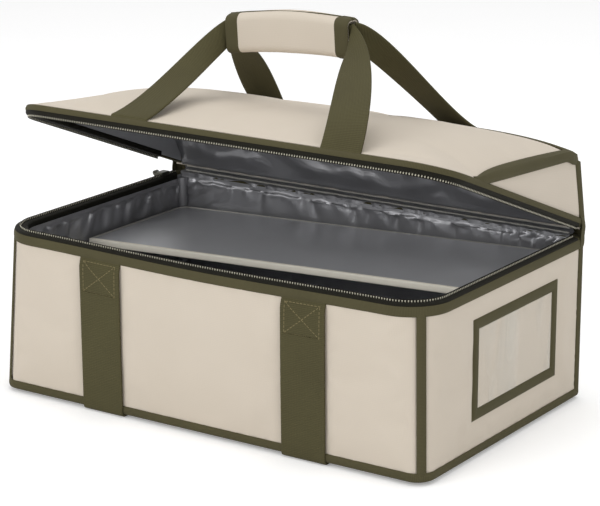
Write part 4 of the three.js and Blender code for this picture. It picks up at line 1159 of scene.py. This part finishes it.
for end, ySign in (("front", -1), ("back", 1)):
    for (side, xSign), x in zip(ends, leg["footX"][end]):
        name = f"{end}_{side}_leg"
        seatY = float(frontEdge(x, 0) if end == "front" else backMeetsTop(x, 0, 0)) + ySign * leg["seat"]
        foot = opened([x, seatY, lidTop(x, seatY) + leg["proud"]])
        tip = hung(gripCentre + np.array([xSign * leg["tipX"], ySign * leg["tipY"], 0]))
        halfFoot, halfTip = np.array([leg["width"] / 2, 0, 0]), np.array([0, 0, xSign * leg["tipHeight"] / 2])
        bends = legBends[f"{end}_{side}"]
        slack = np.array(legSlack.get(f"{end}_{side}", (0, 0, 0)))
        leftEdge = bezier(foot - halfFoot, bends[0], bends[1], tip - halfTip + slack)
        rightEdge = bezier(foot + halfFoot, bends[2], bends[3], tip + halfTip)
        if end == "front":  # the end of the webbing is sewn in under the rim tape
            tuck = opened([x, seatY - leg["proud"], lidTapeTop - leg["tuck"]])
            climb = tuck + (foot - tuck) * np.linspace(0, 1, 5)[:-1, None]
            leftEdge = np.concatenate([climb - halfFoot, leftEdge])
            rightEdge = np.concatenate([climb + halfFoot, rightEdge])
        share = np.linspace(0, 1, 13)[None, :, None]
        points = leftEdge[:, None] * (1 - share) + rightEdge[:, None] * share
        piece = sewn(f"{name}_web", points[:, ::-ySign], leg["thickness"], None, "webbing", oliveWebbing,
                     name, rounded=0.5)
        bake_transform(piece)
print("legs done")


# Grip: a padded wrap in two halves, bound at both ends, round two runs of webbing
def wrapOutline(half, inset):
    lowInset = min(inset, grip["tailThick"]) if half["bottom"] else inset
    y = grip["thickness"] / 2 - inset
    zTop = grip["height"] / 2 - inset
    zLow = -(grip["height"] / 2 + half["bottom"]) + lowInset
    r = max(grip["round"] - inset, 0.6)
    steps = np.radians(np.linspace(90, 0, 8))
    crown = np.stack([y - r + r * np.cos(steps), zTop - r + r * np.sin(steps)], 1)
    heel = np.stack([y - r + r * np.cos(steps - math.pi / 2), zLow + r + r * np.sin(steps - math.pi / 2)], 1)
    start = np.stack([np.linspace(grip["groove"], y - r, 5)[:-1], np.full(4, zTop)], 1)
    middle = np.stack([np.full(4, y), np.linspace(zTop - r, zLow + r, 6)[1:-1]], 1)
    finish = np.stack([np.linspace(y - r, half["lastY"], 6)[1:], np.full(5, zLow)], 1)
    return np.concatenate([start, crown, middle, heel, finish]) * (half["sign"], 1)


def inGripFrame(x, outline):
    return at(x, outline[:, 0], outline[:, 1]) + (0, gripCentre[1], gripCentre[2])


def wrapPiece(half):
    rows = []
    for x in spread(grip["half"], 41):
        inEnd = smooth((grip["half"] - abs(x)) / 16)
        plump = grip["swell"] * smooth(1 - abs(x) / (grip["half"] - 4))
        outer = wrapOutline(half, 0.9 * (1 - inEnd))
        fromMiddle = (outer + (0, half["bottom"] / 2)) / (grip["thickness"] / 2, grip["height"] / 2)
        puff = fromMiddle * plump * (0.7, 1.0)
        puff[:, 1] = np.where(puff[:, 1] < 0, puff[:, 1] * 0.3, puff[:, 1] * smooth(np.abs(outer[:, 0]) / 6))
        outer = outer + puff
        inner = wrapOutline(half, grip["endPadding"] + (grip["padding"] - grip["endPadding"]) * inEnd)
        rows.append(inGripFrame(x, np.concatenate([outer, inner[::-1], outer[:1]])))
    points = np.array(rows)
    points[..., 2] += 0.25 * ripple(points, 20, 47)
    piece = layCloth(half["name"], hung(points), joined=True, capped=True)
    inEditMode(piece, faceOut)
    return piece


# over the cloth, round its end and back inside the wrap; each step has its own height off the cloth
def gripBinding(half, end):
    x = end * np.linspace(grip["half"] - grip["bound"], grip["half"] + 0.6, 8)
    x = np.append(x, [x[-1], end * (grip["half"] - grip["deepBound"])])
    insets = [-0.1] + [-0.55] * 6 + [0.4, 1.6, grip["endPadding"] - 0.6]
    points = np.array([inGripFrame(spot, wrapOutline(half, inset)) for spot, inset in zip(x, insets)])
    return hung(points[::-1 if half["sign"] * end > 0 else 1])


halves = [
    {"name": "grip_back_pad", "body": "grip", "node": "grip_pad", "sign": 1, "bottom": 0, "lastY": 0.1},
    {"name": "grip_front_flap", "body": "grip_flap", "node": "grip_flap", "sign": -1, "bottom": grip["drop"],
     "lastY": -grip["tail"]},
]
for half in halves:
    piece = wrapPiece(half)
    wear(piece, half["body"], "canvas", creamCanvas, half["node"])
    for name, end in ends:
        points = gripBinding(half, end)
        sewn(f"{half['name']}_{name}_binding", points, 0.7, half["body"], "binding", oliveTape)

seam = at(np.linspace(-grip["half"], grip["half"], 40), gripCentre[1], gripCentre[2] + grip["height"] / 2)
wear(tube("grip_top_piping", hung(seam), grip["pipe"]), "grip", "binding", oliveTape)

# inside the wrap: two runs of webbing, and below them the strips that close it
inGrip = {"webbing": {"material": oliveWebbing, "half": 73, "height": 22.4},
          "closure": {"material": loopPile, "half": 52, "height": 0.6}}
runs = (
    ("front_grip_webbing", "front_grip_web", "grip", "webbing", 0),
    ("back_grip_webbing", "back_grip_web", "grip", "webbing", 0),
    ("grip_loop_patch", "grip_loop_strip", "grip", "closure", -17.6),
    ("grip_hook_patch", "grip_hook_strip", "grip_flap", "closure", -18.5),
)
for name, cadNode, body, slot, lift in runs:
    run = inGrip[slot]
    low, high = nodeBox(cadNode)
    piece = barAlong(name, np.linspace(-run["half"], run["half"], 24), (low[1] + high[1]) / 2,
                     gripCentre[2] + lift, high[1] - low[1], run["height"], hung)
    wear(piece, body, slot, run["material"], cadNode)
piece = softCopy("slider_body", "zip_slider", 0.8)
resized(piece, (1, 1, 0.88), 0, hingeZ)  # lower, to stand clear of the two rims
wear(piece, "body", "metal", zincMetal, "zip_slider")
wear(softCopy("slider_pull", "zip_pull", 0.5), "zip_pull", "metal", zincMetal, "zip_pull")
for seed in (seedStitch, seedTooth):
    bpy.data.objects.remove(seed)
print("handle done")


# Floor, light and camera
stage = {"size": 14, "drop": 0.0005, "world": 0.55, "floorGlow": 0.24, "aim": (0, 0, 0.15), "lens": 139.7,
         "sensor": 36, "camera": (1.2360, -1.8207, 0.7640), "pitch": 15.72, "yaw": 33.90}


def seenRays(tree):  # 1 where the eye, a mirror or a clear film looks
    rays = tree.nodes.new("ShaderNodeLightPath").outputs
    seen = maths(tree, "MAXIMUM", rays["Is Camera Ray"], rays["Is Glossy Ray"])
    return maths(tree, "MAXIMUM", seen, rays["Is Transmission Ray"])


bpy.ops.object.select_all(action="DESELECT")
bpy.ops.mesh.primitive_plane_add(size=stage["size"], location=(0, 0, -stage["drop"]))
floor = bpy.context.object
floor.name = "floor"
# White paper: even and matt, so the bag's shadow is all that shows on it
paper, tree, shader, place = newMaterial("white paper floor")
fibre = clouds(tree, place["Object"], 3.0, 2.0)
feed(tree, shader, {
    "Base Color": between(tree, fibre, "f9f9f9", "fcfcfc"), "Roughness": 0.9, "Specular IOR Level": 0.1,
    "Emission Color": (1, 1, 1, 1),
    "Emission Strength": maths(tree, "MULTIPLY", seenRays(tree), stage["floorGlow"]),
})
floor.data.materials.append(paper)

world = bpy.data.worlds.new("studio")
scene.world = world
world.use_nodes = True
tree = world.node_tree
tree.nodes.clear()
level = remap(tree, seenRays(tree), stage["world"], 1.0)
sky = node(tree, "Background", {"Color": (1, 1, 1, 1), "Strength": level})
node(tree, "OutputWorld", {"Surface": sky})

lamps = {
    "key": {"at": (-0.9, -2.7, 1.5), "size": 1.7, "power": 29},
    "fill": {"at": (2.6, -1.0, 1.4), "size": 1.8, "power": 12.5},
    "top": {"at": (0.0, 0.3, 2.8), "size": 2.4, "power": 28},
}
for name, lamp in lamps.items():
    light = bpy.data.lights.new(name, "AREA")
    light.energy = lamp["power"]
    light.size = lamp["size"]
    holder = bpy.data.objects.new(name, light)
    scene.collection.objects.link(holder)
    holder.location = lamp["at"]
    aim = Vector(stage["aim"]) - Vector(lamp["at"])
    holder.rotation_euler = aim.to_track_quat("-Z", "Y").to_euler()

eye = bpy.data.cameras.new("camera")
eye.lens = stage["lens"]
eye.sensor_width = stage["sensor"]
camera = bpy.data.objects.new("camera", eye)
scene.collection.objects.link(camera)
camera.location = stage["camera"]
camera.rotation_euler = (math.radians(90 - stage["pitch"]), 0, math.radians(stage["yaw"]))
scene.camera = camera
